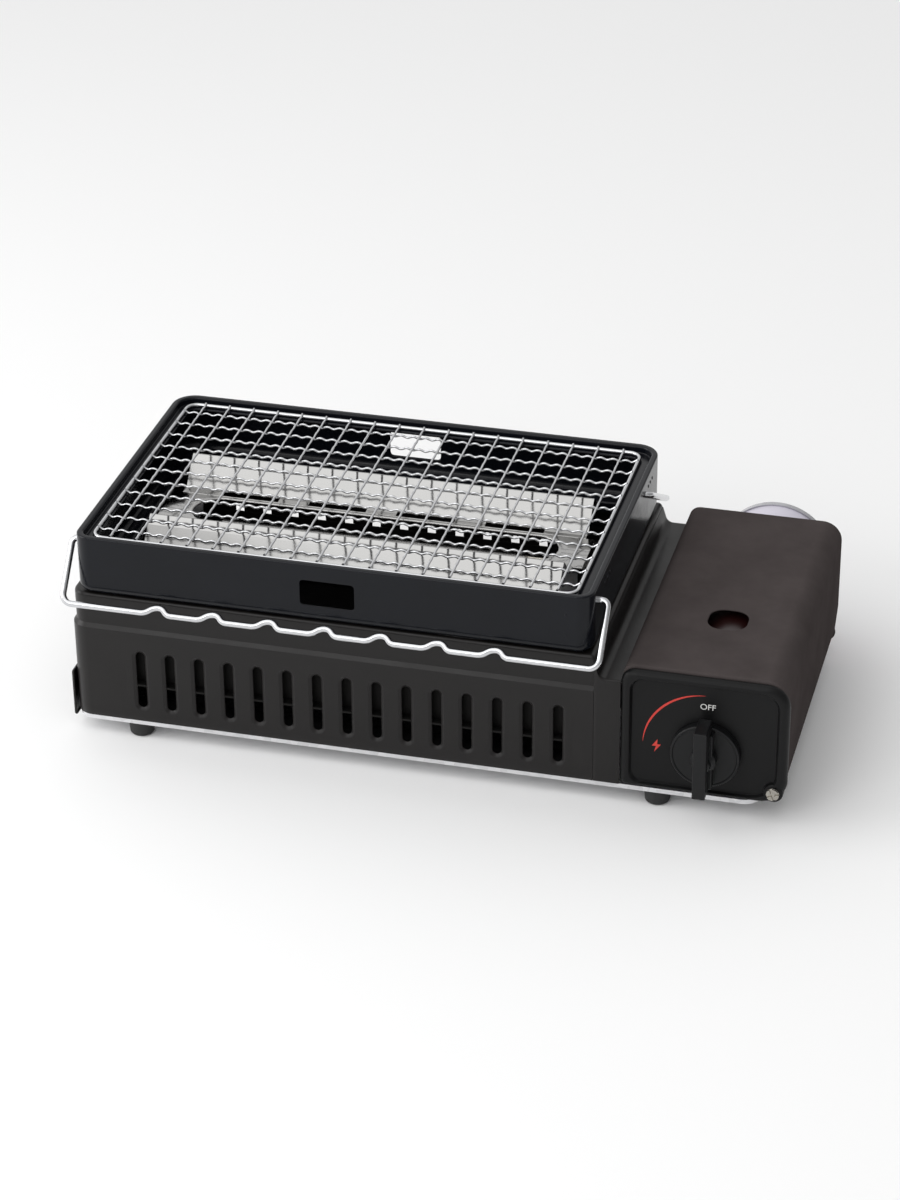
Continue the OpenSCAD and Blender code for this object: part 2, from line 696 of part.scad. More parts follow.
// Bracket from a side wall to a saddle under the burner
module burner_bracket(wall_x, saddle_x) {
    s = sign(wall_x);
    far = saddle_x + (s > 0 ? 0 : sheet_t);
    box(min(wall_x, far), max(wall_x, far), -strap_w / 2, strap_w / 2, strap_z - sheet_t, strap_z);
    box(min(wall_x, wall_x - s * sheet_t), max(wall_x, wall_x - s * sheet_t), -strap_w / 2, strap_w / 2,
        strap_z - 16, strap_z);
    plate_yz(saddle_x, saddle_x + sheet_t) difference() {
        translate([-saddle_w / 2, strap_z - sheet_t]) square([saddle_w, burner_z - 4 - strap_z + sheet_t]);
        translate([0, burner_z]) circle(burner_r + run_gap);
    }
}
module left_burner_bracket() color("silver") place() burner_bracket(inner_left, burner_left + saddle_in);
module right_burner_bracket() color("silver") place() burner_bracket(bay_wall_x, burner_right - saddle_in);

// Upright plate from the bracket's strap to the radiant plate's floor
module plate_support(x) plate_yz(x, x + sheet_t) {
    translate([-strap_w / 2, strap_z]) square([strap_w, plate_z - plate_t - strap_z]);
    translate([-support_w / 2, burner_z]) square([support_w, plate_z - plate_t - burner_z]);
}
module left_plate_support() color("silver") place() plate_support(-support_x - sheet_t);
module right_plate_support() color("silver") place() difference() {
    plate_support(support_x);
    rod_x(support_x - 1, support_x + sheet_t + 1, spark_y, spark_z, insulator_r + run_gap);
}

// Bright sheet bent into two ridges, with a long slot over the burner and slits beside the slot
module radiant_plate() color("whitesmoke") place() {
    foot_in = ridge_y - ridge_w / 2;
    foot_out = ridge_y + ridge_w / 2;
    crest = 5.5;
    crest_fall = 4.5;
    peak = plate_z + ridge_h;
    half = [[foot_in, plate_z], [ridge_y - crest, peak - crest_fall], [ridge_y, peak],
        [ridge_y + crest, peak - crest_fall], [foot_out, plate_z], [foot_out + 2, plate_z]];
    path = concat([for (i = [len(half) - 1:-1:0]) [-half[i][0], half[i][1]]], half);
    slit_l = 36;
    slit_pitch = 54.8;
    slit_w = 4;
    slit_y = foot_in - 0.7 * slit_w;
    difference() {
        plate_yz(-plate_l / 2, plate_l / 2) polygon(sheet(path, -plate_t));
        translate([0, 0, plate_z - 2]) linear_extrude(3) round_rect(-plate_l / 2 + plate_slot_end,
            -plate_slot_w / 2, plate_l / 2 - plate_slot_end, plate_slot_w / 2, plate_slot_w / 2 - 0.5);
        for (i = [0:3], s = [-1, 1]) translate([(i - 1.5) * slit_pitch, s * slit_y, plate_z])
            box(-slit_l / 2, slit_l / 2, -slit_w / 2, slit_w / 2, -2, 1);
    }
}

module electrode_insulator() color("white") place() difference() {
    rod_x(support_x - 16, support_x + 8, spark_y, spark_z, insulator_r);
    rod_x(support_x - 17, support_x + 9, spark_y, spark_z, electrode_r + run_gap);
}

module spark_electrode() color("silver") place()
    rod_x(spark_tip, spark_end, spark_y, spark_z, electrode_r);

module ignition_lead() color([0.75, 0.1, 0.1]) place() tube(smooth(lead_route, 3), lead_r, 8);

// Piezo igniter on the panel's back, with the bore that its plunger slides in
module igniter_body() color([0.12, 0.12, 0.14]) place() difference() {
    box(igniter_x - igniter_l, igniter_x, panel_back, igniter_back, knob_z - 7, knob_z + 7);
    rod_x(igniter_x - plunger_grip - cam_rise - 1, igniter_x + 1, plunger_y, knob_z, plunger_r + run_gap);
}

// Valve block on two posts, with the inlet boss for the canister's stem
module governor_body() color("darkgray") place() {
    wide = 2 * (can_x - valve_x);
    post_z = valve_h - 6;
    difference() {
        union() {
            box(valve_x, valve_x + wide, valve_front, valve_back, knob_z - 7, valve_h);
            for (x = [can_x - 13, can_x + 13]) rod_y(x, panel_back, valve_front, post_z, 4);
            rod_y(can_x, valve_back, can_front - 1, can_z, 7);
        }
        rod_y(knob_x, valve_front - 1, valve_front + 11, knob_z, shaft_r + run_gap);
        rod_y(can_x, can_front - 9, can_front, can_z, stem_r + seam_gap);
    }
}

// Cover of the regulator's diaphragm, with its breather hole
module governor_cap() color("lightsteelblue") place() difference() {
    cap_r = (valve_back - valve_front) / 2 - 0.5;
    union() {
        rod_z(can_x, valve_mid, valve_h, valve_h + 4, cap_r);
        rod_z(can_x, valve_mid, valve_h + 4, valve_h + 7, cap_r - 3);
    }
    rod_z(can_x, valve_mid, valve_h + 5, valve_h + 8, 1);
}

module holder_magnets() color([0.3, 0.3, 0.32]) place()
    for (x = [can_x - 13, can_x + 13])
        box(x - 4, x + 4, valve_back, can_front - slide_gap, can_z - 4, can_z + 4);

// Curved saddle under the canister, on two rails
module canister_cradle() color("silver") place() {
    reach = 0.6 * can_r;
    seat_r = can_r + slide_gap;
    plate_xz(can_front + 20, rear_ear_y - 12) {
        intersection() {
            translate([can_x, can_z]) difference() {
                circle(seat_r + sheet_t);
                circle(seat_r);
            }
            translate([can_x - reach, base_z]) square([2 * reach, can_r]);
        }
        for (x = [can_x - reach, can_x + reach - sheet_t]) difference() {
            translate([x, base_z]) square([sheet_t, can_r]);
            translate([can_x, can_z]) circle(seat_r + sheet_t / 2);
        }
    }
}

// Deep drawn ring: rolled rim, net ledge, tucked-in lower edge and a skirt in the casing's opening
module top_frame() color([0.13, 0.14, 0.16]) place() {
    top = frame_top_z;
    in = tuck_r - frame_t;
    outline = concat(
        arc(tuck_r, rim_z + tuck_r, tuck_r, 270, 180),
        arc(2, top - 2, 2, 180, 90, 5),
        [[rim_w - 1, top], [rim_w, top - 1], [rim_w, ledge_z], [rim_w + ledge_w, ledge_z],
        [rim_w + ledge_w, ledge_z - frame_t], [rim_w - frame_t, ledge_z - frame_t],
        [rim_w - frame_t, top - frame_t], [frame_t + 0.4, top - frame_t], [frame_t, top - frame_t - 0.8]],
        arc(tuck_r, rim_z + tuck_r, in, 180, 270),
        [[skirt_in + frame_t, rim_z + frame_t], [skirt_in + frame_t, rim_z - skirt_h],
        [skirt_in, rim_z - skirt_h], [skirt_in, rim_z]]);
    difference() {
        ring(-half_w, half_w, half_d, frame_corner_r, outline);
        plate_xz(-half_d - 1, half_d + 1) translate([0, rim_z + window_lift])
            round_rect(-window_w / 2, 0, window_w / 2, window_h, 2);
        for (y = [-rest_y, rear_y]) rod_x(-half_w - 1, half_w + 1, y, rest_z, rest_r + run_gap);
    }
}

// Border wire of the net
module net_border() color("gainsboro") place() {
    straight_x = 2 * (net_x - net_corner_r);
    straight_y = 2 * (net_y - net_corner_r);
    for (s = [-1, 1]) {
        rod_x(-straight_x / 2, straight_x / 2, s * net_y, net_z, border_r);
        rod_y(s * net_x, -straight_y / 2, straight_y / 2, net_z, border_r);
    }
    for (i = [0:3]) let(right = i == 0 || i == 3 ? 1 : -1, back = i < 2 ? 1 : -1)
        translate([right * straight_x / 2, back * straight_y / 2, net_z]) rotate([0, 0, 90 * i])
            rotate_extrude(angle = 90) translate([net_corner_r, 0]) circle(border_r);
}

module net_depth_wires() color("gainsboro") place() {
    end = net_y - border_r - seam_gap;
    for (i = [0:depth_wires - 1])
        rod_y((i - (depth_wires - 1) / 2) * depth_pitch, -end, end, net_z + net_layer, net_wire_r);
}

module net_cross_wires() color("gainsboro") place() {
    end = net_x - border_r - seam_gap;
    for (i = [0:cross_wires - 1])
        rod_x(-end, end, (i - (cross_wires - 1) / 2) * cross_pitch, net_z - net_layer, net_wire_r);
}

// Middle line of a bail, drawn flat with its pivot on the X axis and its run at Y = -arm
function hump(x, arm) = [for (p = concat(
    arc(-hump_w / 2, hump_r, hump_r, -90, -90 + hump_turn, 2),
    arc(0, hump_h - hump_r, hump_r, 90 + hump_turn / 2, 90 - hump_turn / 2, 2),
    arc(hump_w / 2, hump_r, hump_r, 270 - hump_turn, 270, 2))) [x + p[0], p[1] - arm]];
function rest_end(arm) = concat(
    [[half_w - rest_stub_in, 0]],
    arc(rest_x - rest_bend_r, -rest_bend_r, rest_bend_r, 90, 0, 4),
    arc(rest_x - rest_corner_r, rest_corner_r - arm, rest_corner_r, 0, -90, 4));
function rest_path(arm) = let(end = rest_end(arm)) concat(
    [for (p = end) [-p[0], p[1], 0]],
    [for (i = [0:rest_humps - 1]) for (p = hump((i - (rest_humps - 1) / 2) * hump_pitch, arm))
        [p[0], p[1], 0]],
    [for (i = [len(end) - 1:-1:0]) [end[i][0], end[i][1], 0]]);

// Wire bail with a straight pivot stub at each end, tilted down about its pivot
module skewer_rest(y, arm, tilt)
    translate([0, -y, rest_z]) rotate([tilt, 0, 0]) tube(rest_path(arm), rest_r, 8);
module front_skewer_rest() color("gainsboro") place() skewer_rest(rest_y, rest_arm, rest_tilt);
module rear_skewer_rest() color("gainsboro") place()
    mirror([0, 1, 0]) skewer_rest(rear_y, rear_arm, rear_tilt);

// Open pan that slides in through the casing's left wall
module drip_tray() color([0.1, 0.1, 0.1]) place() difference() {
    box(tray_left, tray_right, -tray_y, tray_y, tray_z, tray_z + tray_h);
    box(tray_left + tray_t, tray_right - tray_t, -tray_y + tray_t, tray_y - tray_t,
        tray_z + tray_t, tray_z + tray_h + 1);
}

module tray_facia() color([0.16, 0.15, 0.15]) place() plate_yz(tray_left - facia_t, tray_left)
    round_rect(-facia_y, facia_z, facia_y, facia_z + facia_h, 2);

// Folded cover of the gas bay, with a sight hole and an ear at each end for the hinge
module canister_lid() color([0.25, 0.23, 0.22]) place() {
    bend = 0.57 * lid_rise;
    path = concat([[lid_left, deck_z + lid_gap]], arc(lid_left + bend, lid_top - bend, bend, 180, 90),
        arc(lid_right - lid_bend_r, lid_top - lid_bend_r, lid_bend_r, 90, 0), [[lid_right, lid_bottom]]);
    chamfer = 10;
    sight_x = panel_left + sight_in;
    sight_y = panel_back + sight_back;
    ear_top = lid_bottom + 12;
    difference() {
        union() {
            plate_xz(lid_front, lid_rear) polygon(sheet(path, -lid_t));
            for (y = [lid_front, rear_ear_y]) plate_xz(y, y + sheet_t) {
                translate([hinge_x - ear_r, hinge_z])
                    square([lid_right - hinge_x + ear_r, ear_top - hinge_z]);
                translate([hinge_x, hinge_z]) circle(ear_r);
            }
        }
        plate_yz(lid_right - lid_t - 1, lid_right + 1) polygon([[lid_rear - chamfer, lid_bottom - 1],
            [lid_rear + 1, lid_bottom - 1], [lid_rear + 1, lid_bottom + chamfer]]);
        translate([sight_x, sight_y, lid_top - 2]) linear_extrude(4)
            round_rect(-sight_w / 2, -sight_w / 2, sight_w / 2, sight_w / 2, 6);
        rod_y(hinge_x, lid_front - 1, lid_rear, hinge_z, hinge_r + run_gap);
    }
}

// Disc with a tall grip bar that stands out further above the axis than below
module control_knob() color([0.12, 0.12, 0.12]) place() {
    grip_z = knob_z + grip_up;
    difference() {
        union() {
            rod_y(knob_x, disc_y, knob_y, knob_z, knob_d / 2);
            rod_y(knob_x, disc_y - grip_h / 3, disc_y, knob_z, grip_w);
            plate_xz(grip_y, disc_y) round_rect(knob_x - grip_w / 2, grip_z - grip_l / 2,
                knob_x + grip_w / 2, grip_z + grip_l / 2, 1.2);
        }
        rod_y(knob_x, disc_y - grip_h / 2, knob_y + 1, knob_z, shaft_r + run_gap);
    }
}

module knob_shaft() color("silver") place()
    rod_y(knob_x, disc_y - grip_h / 2, valve_front + 10, knob_z, shaft_r);

// Spiral cam: its radius grows steadily over the knob's turn
module igniter_cam() color("ivory") place() difference() {
    rise = [for (a = [180 - knob_turn:5:180])
        (cam_r + cam_rise * (180 - a) / knob_turn) * [cos(a), sin(a)]];
    rest = [for (a = [190:10:530 - knob_turn]) cam_r * [cos(a), sin(a)]];
    plate_xz(cam_y, cam_y + cam_t) translate([knob_x, knob_z]) polygon(concat(rise, rest));
    rod_y(knob_x, cam_y - 1, cam_y + cam_t + 1, knob_z, shaft_r + run_gap);
}

module igniter_plunger() color("ivory") place() {
    rod_x(igniter_x - plunger_grip, plunger_x, plunger_y, knob_z, plunger_r);
    translate([plunger_x, plunger_y, knob_z]) sphere(plunger_r);
}

// Canister body with its domed shoulder, a sheet turned about the axis
module canister_shell() color("lavender") place() {
    wall = 0.9;
    dome = 9;
    neck = collar_r - 2;
    start = can_front + collar_t;
    path = concat([for (a = [0:15:90]) [neck + (can_r - neck) * sin(a), start + dome * (1 - cos(a))]],
        [[can_r, can_rear - can_seam_h]]);
    turned(sheet(path, wall));
}

// Dished base with the rolled seam
module canister_base() color("silver") place() {
    seam = can_rear - can_seam_h;
    dish_t = 0.8;
    dish_h = 10;
    dish = [for (p = [[0.8, 0.6], [0.4, 0.9], [0, 1]]) [p[0] * can_r, can_rear - p[1] * dish_h]];
    turned(concat([[can_r + can_rim, seam], [can_r + can_rim, can_rear], [can_r - 1.6, can_rear],
        [can_r - 1.8, seam]], dish, [for (i = [2:-1:0]) dish[i] - [0, dish_t]],
        [[can_r - 1.2, seam - 0.6], [can_r - 1.2, seam]]));
}

// Valve cup with the notch that sets the canister the right way up
module canister_collar() color("silver") place() difference() {
    rod_y(can_x, can_front, can_front + collar_t, can_z, collar_r);
    rod_y(can_x, can_front - 1, can_front + collar_t + 1, can_z, stem_r + run_gap);
    box(can_x - notch_w / 2, can_x + notch_w / 2, can_front - 1, can_front + collar_t + 1,
        can_z + collar_r - notch_h, can_z + collar_r + 1);
}

module canister_stem() color("ivory") place()
    rod_y(can_x, can_front - stem_l, can_front + collar_t, can_z, stem_r);

base_plate();
body_shell();
side_deck();
control_panel();
rear_hinge_bracket();
lid_hinge_pins();
foot_front_left();
foot_rear_left();
foot_front_right();
foot_rear_right();
foot_screws();
front_heat_shield();
rear_heat_shield();
burner_tube();
mixing_tube();
air_shutter();
gas_nozzle();
left_burner_bracket();
right_burner_bracket();
left_plate_support();
right_plate_support();
radiant_plate();
electrode_insulator();
spark_electrode();
ignition_lead();
igniter_body();
governor_body();
governor_cap();
holder_magnets();
canister_cradle();
top_frame();
net_border();
net_depth_wires();
net_cross_wires();
front_skewer_rest();
rear_skewer_rest();
drip_tray();
tray_facia();
canister_lid();
control_knob();
knob_shaft();
igniter_cam();
igniter_plunger();
canister_shell();
canister_base();
canister_collar();
canister_stem();
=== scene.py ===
"""Looks of a table-top cassette gas grill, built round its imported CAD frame.

Sizes below are in millimetres: X and Y from the middle of the top frame, Z from the table.
"""
import json
import math

import bmesh
import bpy
from mathutils import Matrix, Vector
from mathutils.geometry import tessellate_polygon


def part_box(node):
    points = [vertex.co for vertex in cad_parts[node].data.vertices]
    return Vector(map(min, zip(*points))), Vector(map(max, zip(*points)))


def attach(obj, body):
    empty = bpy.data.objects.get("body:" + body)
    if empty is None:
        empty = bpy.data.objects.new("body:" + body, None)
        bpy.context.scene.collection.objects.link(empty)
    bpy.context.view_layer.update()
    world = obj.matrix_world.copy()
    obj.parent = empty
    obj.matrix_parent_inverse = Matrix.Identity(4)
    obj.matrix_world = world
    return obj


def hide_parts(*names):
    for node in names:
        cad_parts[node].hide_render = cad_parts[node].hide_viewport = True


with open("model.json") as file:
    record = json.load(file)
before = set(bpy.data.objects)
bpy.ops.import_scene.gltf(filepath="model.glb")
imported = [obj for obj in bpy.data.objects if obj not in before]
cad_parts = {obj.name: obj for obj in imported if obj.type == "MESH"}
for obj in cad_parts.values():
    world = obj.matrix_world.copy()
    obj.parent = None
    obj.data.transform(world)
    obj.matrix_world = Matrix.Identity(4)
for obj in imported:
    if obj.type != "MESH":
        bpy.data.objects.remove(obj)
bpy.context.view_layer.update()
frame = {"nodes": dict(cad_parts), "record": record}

MM = 0.001
frame_lo, frame_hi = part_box("top_frame")
MID_X = (frame_lo.x + frame_hi.x) / 2
MID_Y = (frame_lo.y + frame_hi.y) / 2

# Casing
BASE_Z, RIM_Z = 12.5, 94.0
WALL_Y, BODY_LEFT, SEAM_X, BODY_R, ROLL_X = 97.0, -160.0, 154.2, 11.0, 151.3
STEP_Z, STEP_H, STEP_IN = 72.0, 2.6, 1.8
SHEET_T = 1.2
SLOTS, SLOT_PITCH, SLOT_SHIFT = 15, 17.9, 8.0
SLOT_HALF, SLOT_LOW, SLOT_HIGH = 2.6, 24.1, 55.9
SLOT_RIM = ((2.3, 0), (2.1, 0.05), (1.7, 0.24), (0.5, 1.0), (0.15, 1.35), (0, 1.75))  # (wider by, depth)
CELL_LOW, CELL_HIGH = 17.0, 63.0
DOOR_Y, DOOR_TOP = 83.6, 36.9
OPEN_X, OPEN_Y, OPEN_R = 144.0, 87.0, 4.0

# Top frame and net
FRAME_LEFT, FRAME_RIGHT, HALF_D, FRAME_TOP = -154.2, 152.6, 96.4, 131.5
FRAME_FRONT_R, FRAME_BACK_R = 9.5, 14.0
LEDGE_Z, LEDGE_IN, FRAME_RIM, TUCK_R = 127.0, 10.8, 4.0, 6.0
SKIRT_IN, SKIRT_Z = 10.7, 88.0
WINDOW_X, WINDOW_MID, WINDOW_LOW, WINDOW_HIGH, WINDOW_R = 16.0, -1.8, 105.0, 121.0, 2.2
WINDOW_RIM = ((0.5, 0), (0.2, 0.12), (0, 0.5))
PANE_X, PANE_LOW, PANE_HIGH = 20.0, 103.0, 123.0  # part of the wall round a window
DIMPLE_Z, SIDE_DIMPLES = 124.0, (-64.0, -57.5, -51.0, 57.0, 62.5, 68.0)
FRONT_DIMPLE_X, FRONT_DIMPLES = 137.5, (105.5, 119.0)
NET_X, NET_Y, NET_Z, NET_R, NET_MID = 143.4, 88.7, 128.4, 7.0, -1.8
BORDER_R, WIRE_R, NET_END = 1.2, 0.72, 11.0
DEPTH_WIRES, CROSS_WIRES = 18, 11
DEPTH_SWING, CROSS_SWING, CRIMP_STEPS, NET_CLIMB = 0.3, 1.15, 16, 4.5

# Skewer rests
FRONT_REST_Y, FRONT_ARM, FRONT_TILT = 80.0, 39.4, 50.7
REAR_REST_Y, REAR_ARM, REAR_TILT = 50.0, 64.0, 29.0
FRONT_REST_X, REAR_REST_X, REST_MID, REST_Z, REST_R = 159.2, 156.0, -0.8, 122.0, 1.9
REST_BEND, REST_CORNER, REST_STUB = 4.0, 6.0, 148.0
HUMPS, HUMP_PITCH, HUMP_H, HUMP_MID = 7, 33.4, 3.8, -0.3
HUMP_RISE, HUMP_FALL = 11.0, 7.5

# Radiant plate
PLATE_X, PLATE_MID, PLATE_Z, PLATE_T, PLATE_TAB = 125.0, -1.6, 105.5, 0.8, 5.5
RIDGE_Y, PEAK_Z, FOOT_IN, FOOT_OUT = 40.0, 121.0, 24.5, 55.5
PLATE_SLOT_X, PLATE_SLOT_Y, FLOOR_Y = 112.0, 15.0, 17.5
PLATE_SLOT_RIM = ((1.0, 0), (0.5, 0.15), (0, 0.6))
SLITS, SLIT_HALF, SLIT_PITCH, SLIT_SHIFT, SLIT_NEAR, SLIT_FAR = 4, 18.0, 54.8, -1.0, 18.2, 24.2

# Gas bay
DECK_Z, DECK_RISE, HEEL_R = 81.0, 91.0, 5.0
PANEL_LEFT, PANEL_RIGHT, BEZEL_W = 169.6, 266.1, 6.8
PANEL_LOW, PANEL_TOP = 13.2, 88.7
PANEL_FACE, PANEL_BACK, BEZEL_FACE = -96.0, -93.8, -98.3
BAY_X, BAY_REAR, PASS_LOW, PASS_HIGH = 176.0, 95.8, 45.0, 70.0
# Pass holes in the bay's wall: the cell's Y from and to, then the hole's Y, Z and radius
PASSES = ((-93.0, -60.0, -76.2, 58.1, 8.6), (-60.0, -40.0, -50.0, 62.0, 2.5))
HINGE_X, HINGE_Z, EAR_R = 258.6, 20.2, 5.77
LID_LEFT, LID_RIGHT, LID_TOP, LID_LOW = 170.2, 264.0, 90.7, 23.2
LID_FRONT, LID_REAR, LID_R, LID_BEND, LID_CHAMFER = -93.2, 100.0, 12.0, 7.0, 10.0
LID_T, LID_EAR_Y, LID_EAR_TOP = 1.0, 89.6, 34.0
LID_LIP = ((0, 3.0), (0, 1.6), (0.25, 0.8), (0.8, 0.25), (1.6, 0.0))  # (behind the front edge, inset)
SIGHT_X, SIGHT_Y, SIGHT, SIGHT_R = 218.4, -30.8, 11.35, 8.8
SIGHT_RIM = ((1.0, 0), (0.6, 0.06), (0.2, 0.35), (0, 0.9))
SIGHT_CELL_X, SIGHT_CELL_Y = (202.0, 236.0), (-50.0, -12.0)
KNOB_X, KNOB_Z, KNOB_Y, DISC_Y, GRIP_Y = 219.4, 41.0, -96.6, -101.6, -118.1
DISC_R, HUB_R, GRIP_W, GRIP_UP, GRIP_DOWN = 20.0, 7.4, 7.5, 24.5, 18.5
ARC_R, ARC_START, ARC_END, ARC_STEPS = 36.7, 92.0, 177.0, 40
SPARK_X, SPARK_Z, WORD_X, WORD_Z, WORD_SIZE = 190.7, 41.1, 219.6, 70.4, 5.2
SCREW_R, PIN_R, SCREW_END = 3.8, 2.0, -90.4
NEAR_AXIS = 0.01  # radius of a closed end of a turned shape

# Tray front and feet
TRAY_Y, TRAY_LOW, TRAY_TOP, TRAY_X, TRAY_BACK = 93.0, 7.4, 38.6, -162.3, -160.6
FEET_X = (("left", -121.4), ("right", 190.6))
FEET_Y = (("front", -88.4), ("rear", 88.4))

# Stage: lengths in metres, the sky's strength at the left and the right
FLOOR_HALF = 30.0
SKY_LEFT, SKY_RIGHT = 1.3, 0.24
LIGHTS = (  # name, place, target, width and depth, watts
    ("overhead", (-0.25, -0.45, 1.6), (0, 0, 0.08), (1.8, 1.3), 5.0),
    ("front_fill", (-0.5, -1.35, 1.1), (0, 0, 0.06), (0.8, 0.5), 3.2),
    ("key_left", (-1.5, -0.5, 0.75), (-0.1, 0, 0.05), (0.9, 0.9), 9.0),
)

# Camera: angles in degrees, eye and lens in millimetres, shifts as shares of the picture's longer side
AZIMUTH, ELEVATION, ROLL = 14.36, 29.70, -0.29
EYE, LENS, SENSOR = (495.35, -1679.8, 1053.8), 100.62, 36.0
SHIFT_X, SHIFT_Y = -0.0277, 0.0012


def at(p):
    """A point in millimetres from the frame's middle, as a point of the scene in metres."""
    return Vector((MID_X + p[0] * MM, MID_Y + p[1] * MM, p[2] * MM))


# Materials


def link(tree, a, b):
    tree.links.new(a, b)


def node(tree, kind, **values):
    """New node with its inputs, or its own settings, given by name."""
    n = tree.nodes.new(kind)
    for key, value in values.items():
        if key in n.inputs:
            n.inputs[key].default_value = value
        else:
            setattr(n, key, value)
    return n


def map_range(tree, from_min, from_max, to_min, to_max):
    """Node that maps one range of values to another."""
    n = tree.nodes.new("ShaderNodeMapRange")
    limits = {"From Min": from_min, "From Max": from_max, "To Min": to_min, "To Max": to_max}
    for key, value in limits.items():
        n.inputs[key].default_value = value
    return n


def material(name, color, rough, metallic=0.0, mottle=0.12, mottle_scale=35.0, grain=0.05,
             grain_scale=1400.0, spread=0.06, stretch=(1.0, 1.0, 1.0), coat=0.0, specular=0.5):
    """Principled surface with broad colour mottling, uneven gloss and a fine grain in its normals."""
    m = bpy.data.materials.new(name)
    m.use_nodes = True
    t = m.node_tree
    shader = t.nodes["Principled BSDF"]
    shader.inputs["Metallic"].default_value = metallic
    shader.inputs["Coat Weight"].default_value = coat
    shader.inputs["Coat Roughness"].default_value = 0.1
    shader.inputs["Specular IOR Level"].default_value = specular
    coords = node(t, "ShaderNodeTexCoord")
    mapping = node(t, "ShaderNodeMapping", Scale=stretch)
    broad = node(t, "ShaderNodeTexNoise", Scale=mottle_scale, Detail=4.0, Roughness=0.6)
    fine = node(t, "ShaderNodeTexNoise", Scale=grain_scale, Detail=2.0, Roughness=0.5)
    link(t, coords.outputs["Object"], mapping.inputs["Vector"])
    for noise in (broad, fine):
        link(t, mapping.outputs["Vector"], noise.inputs["Vector"])
    ramp = node(t, "ShaderNodeValToRGB")
    for stop, place, gain in zip(ramp.color_ramp.elements, (0.3, 0.7), (1 - mottle, 1 + mottle)):
        stop.position = place
        stop.color = [min(c * gain, 1.0) for c in color] + [1.0]
    link(t, broad.outputs["Fac"], ramp.inputs["Fac"])
    link(t, ramp.outputs["Color"], shader.inputs["Base Color"])
    gloss = map_range(t, 0.3, 0.7, rough - spread, rough + spread)
    link(t, broad.outputs["Fac"], gloss.inputs["Value"])
    link(t, gloss.outputs["Result"], shader.inputs["Roughness"])
    bump = node(t, "ShaderNodeBump", Strength=grain, Distance=0.0003)
    link(t, fine.outputs["Fac"], bump.inputs["Height"])
    link(t, bump.outputs["Normal"], shader.inputs["Normal"])
    return m


def add_spangle(m, scale, dark, light):
    """Zinc crystals: cells of slightly different grey."""
    t = m.node_tree
    shader = t.nodes["Principled BSDF"]
    coords = node(t, "ShaderNodeTexCoord")
    cells = node(t, "ShaderNodeTexVoronoi", Scale=scale, Randomness=1.0)
    ramp = node(t, "ShaderNodeValToRGB")
    for stop, grey in zip(ramp.color_ramp.elements, (dark, light)):
        stop.color = (grey, grey, 1.02 * grey, 1.0)
    link(t, coords.outputs["Object"], cells.inputs["Vector"])
    link(t, cells.outputs["Color"], ramp.inputs["Fac"])
    link(t, ramp.outputs["Color"], shader.inputs["Base Color"])
    return m


def add_bands(m, bands):
    """Bands round the canister, print and painted shade: (start along Y in metres, colour) in order."""
    t = m.node_tree
    shader = t.nodes["Principled BSDF"]
    coords = node(t, "ShaderNodeTexCoord")
    split = node(t, "ShaderNodeSeparateXYZ")
    length = map_range(t, bands[0][0], bands[-1][0], 0.0, 1.0)
    ramp = node(t, "ShaderNodeValToRGB")
    ramp.color_ramp.interpolation = "CONSTANT"
    span = bands[-1][0] - bands[0][0]
    for i, (start, color) in enumerate(bands[:-1]):
        place = (start - bands[0][0]) / span
        stop = ramp.color_ramp.elements[0] if i == 0 else ramp.color_ramp.elements.new(place)
        stop.position = place
        stop.color = (*color, 1.0)
    ramp.color_ramp.elements.remove(ramp.color_ramp.elements[-1])
    link(t, coords.outputs["Object"], split.inputs["Vector"])
    link(t, split.outputs["Y"], length.inputs["Value"])
    link(t, length.outputs["Result"], ramp.inputs["Fac"])
    link(t, ramp.outputs["Color"], shader.inputs["Base Color"])
    return m


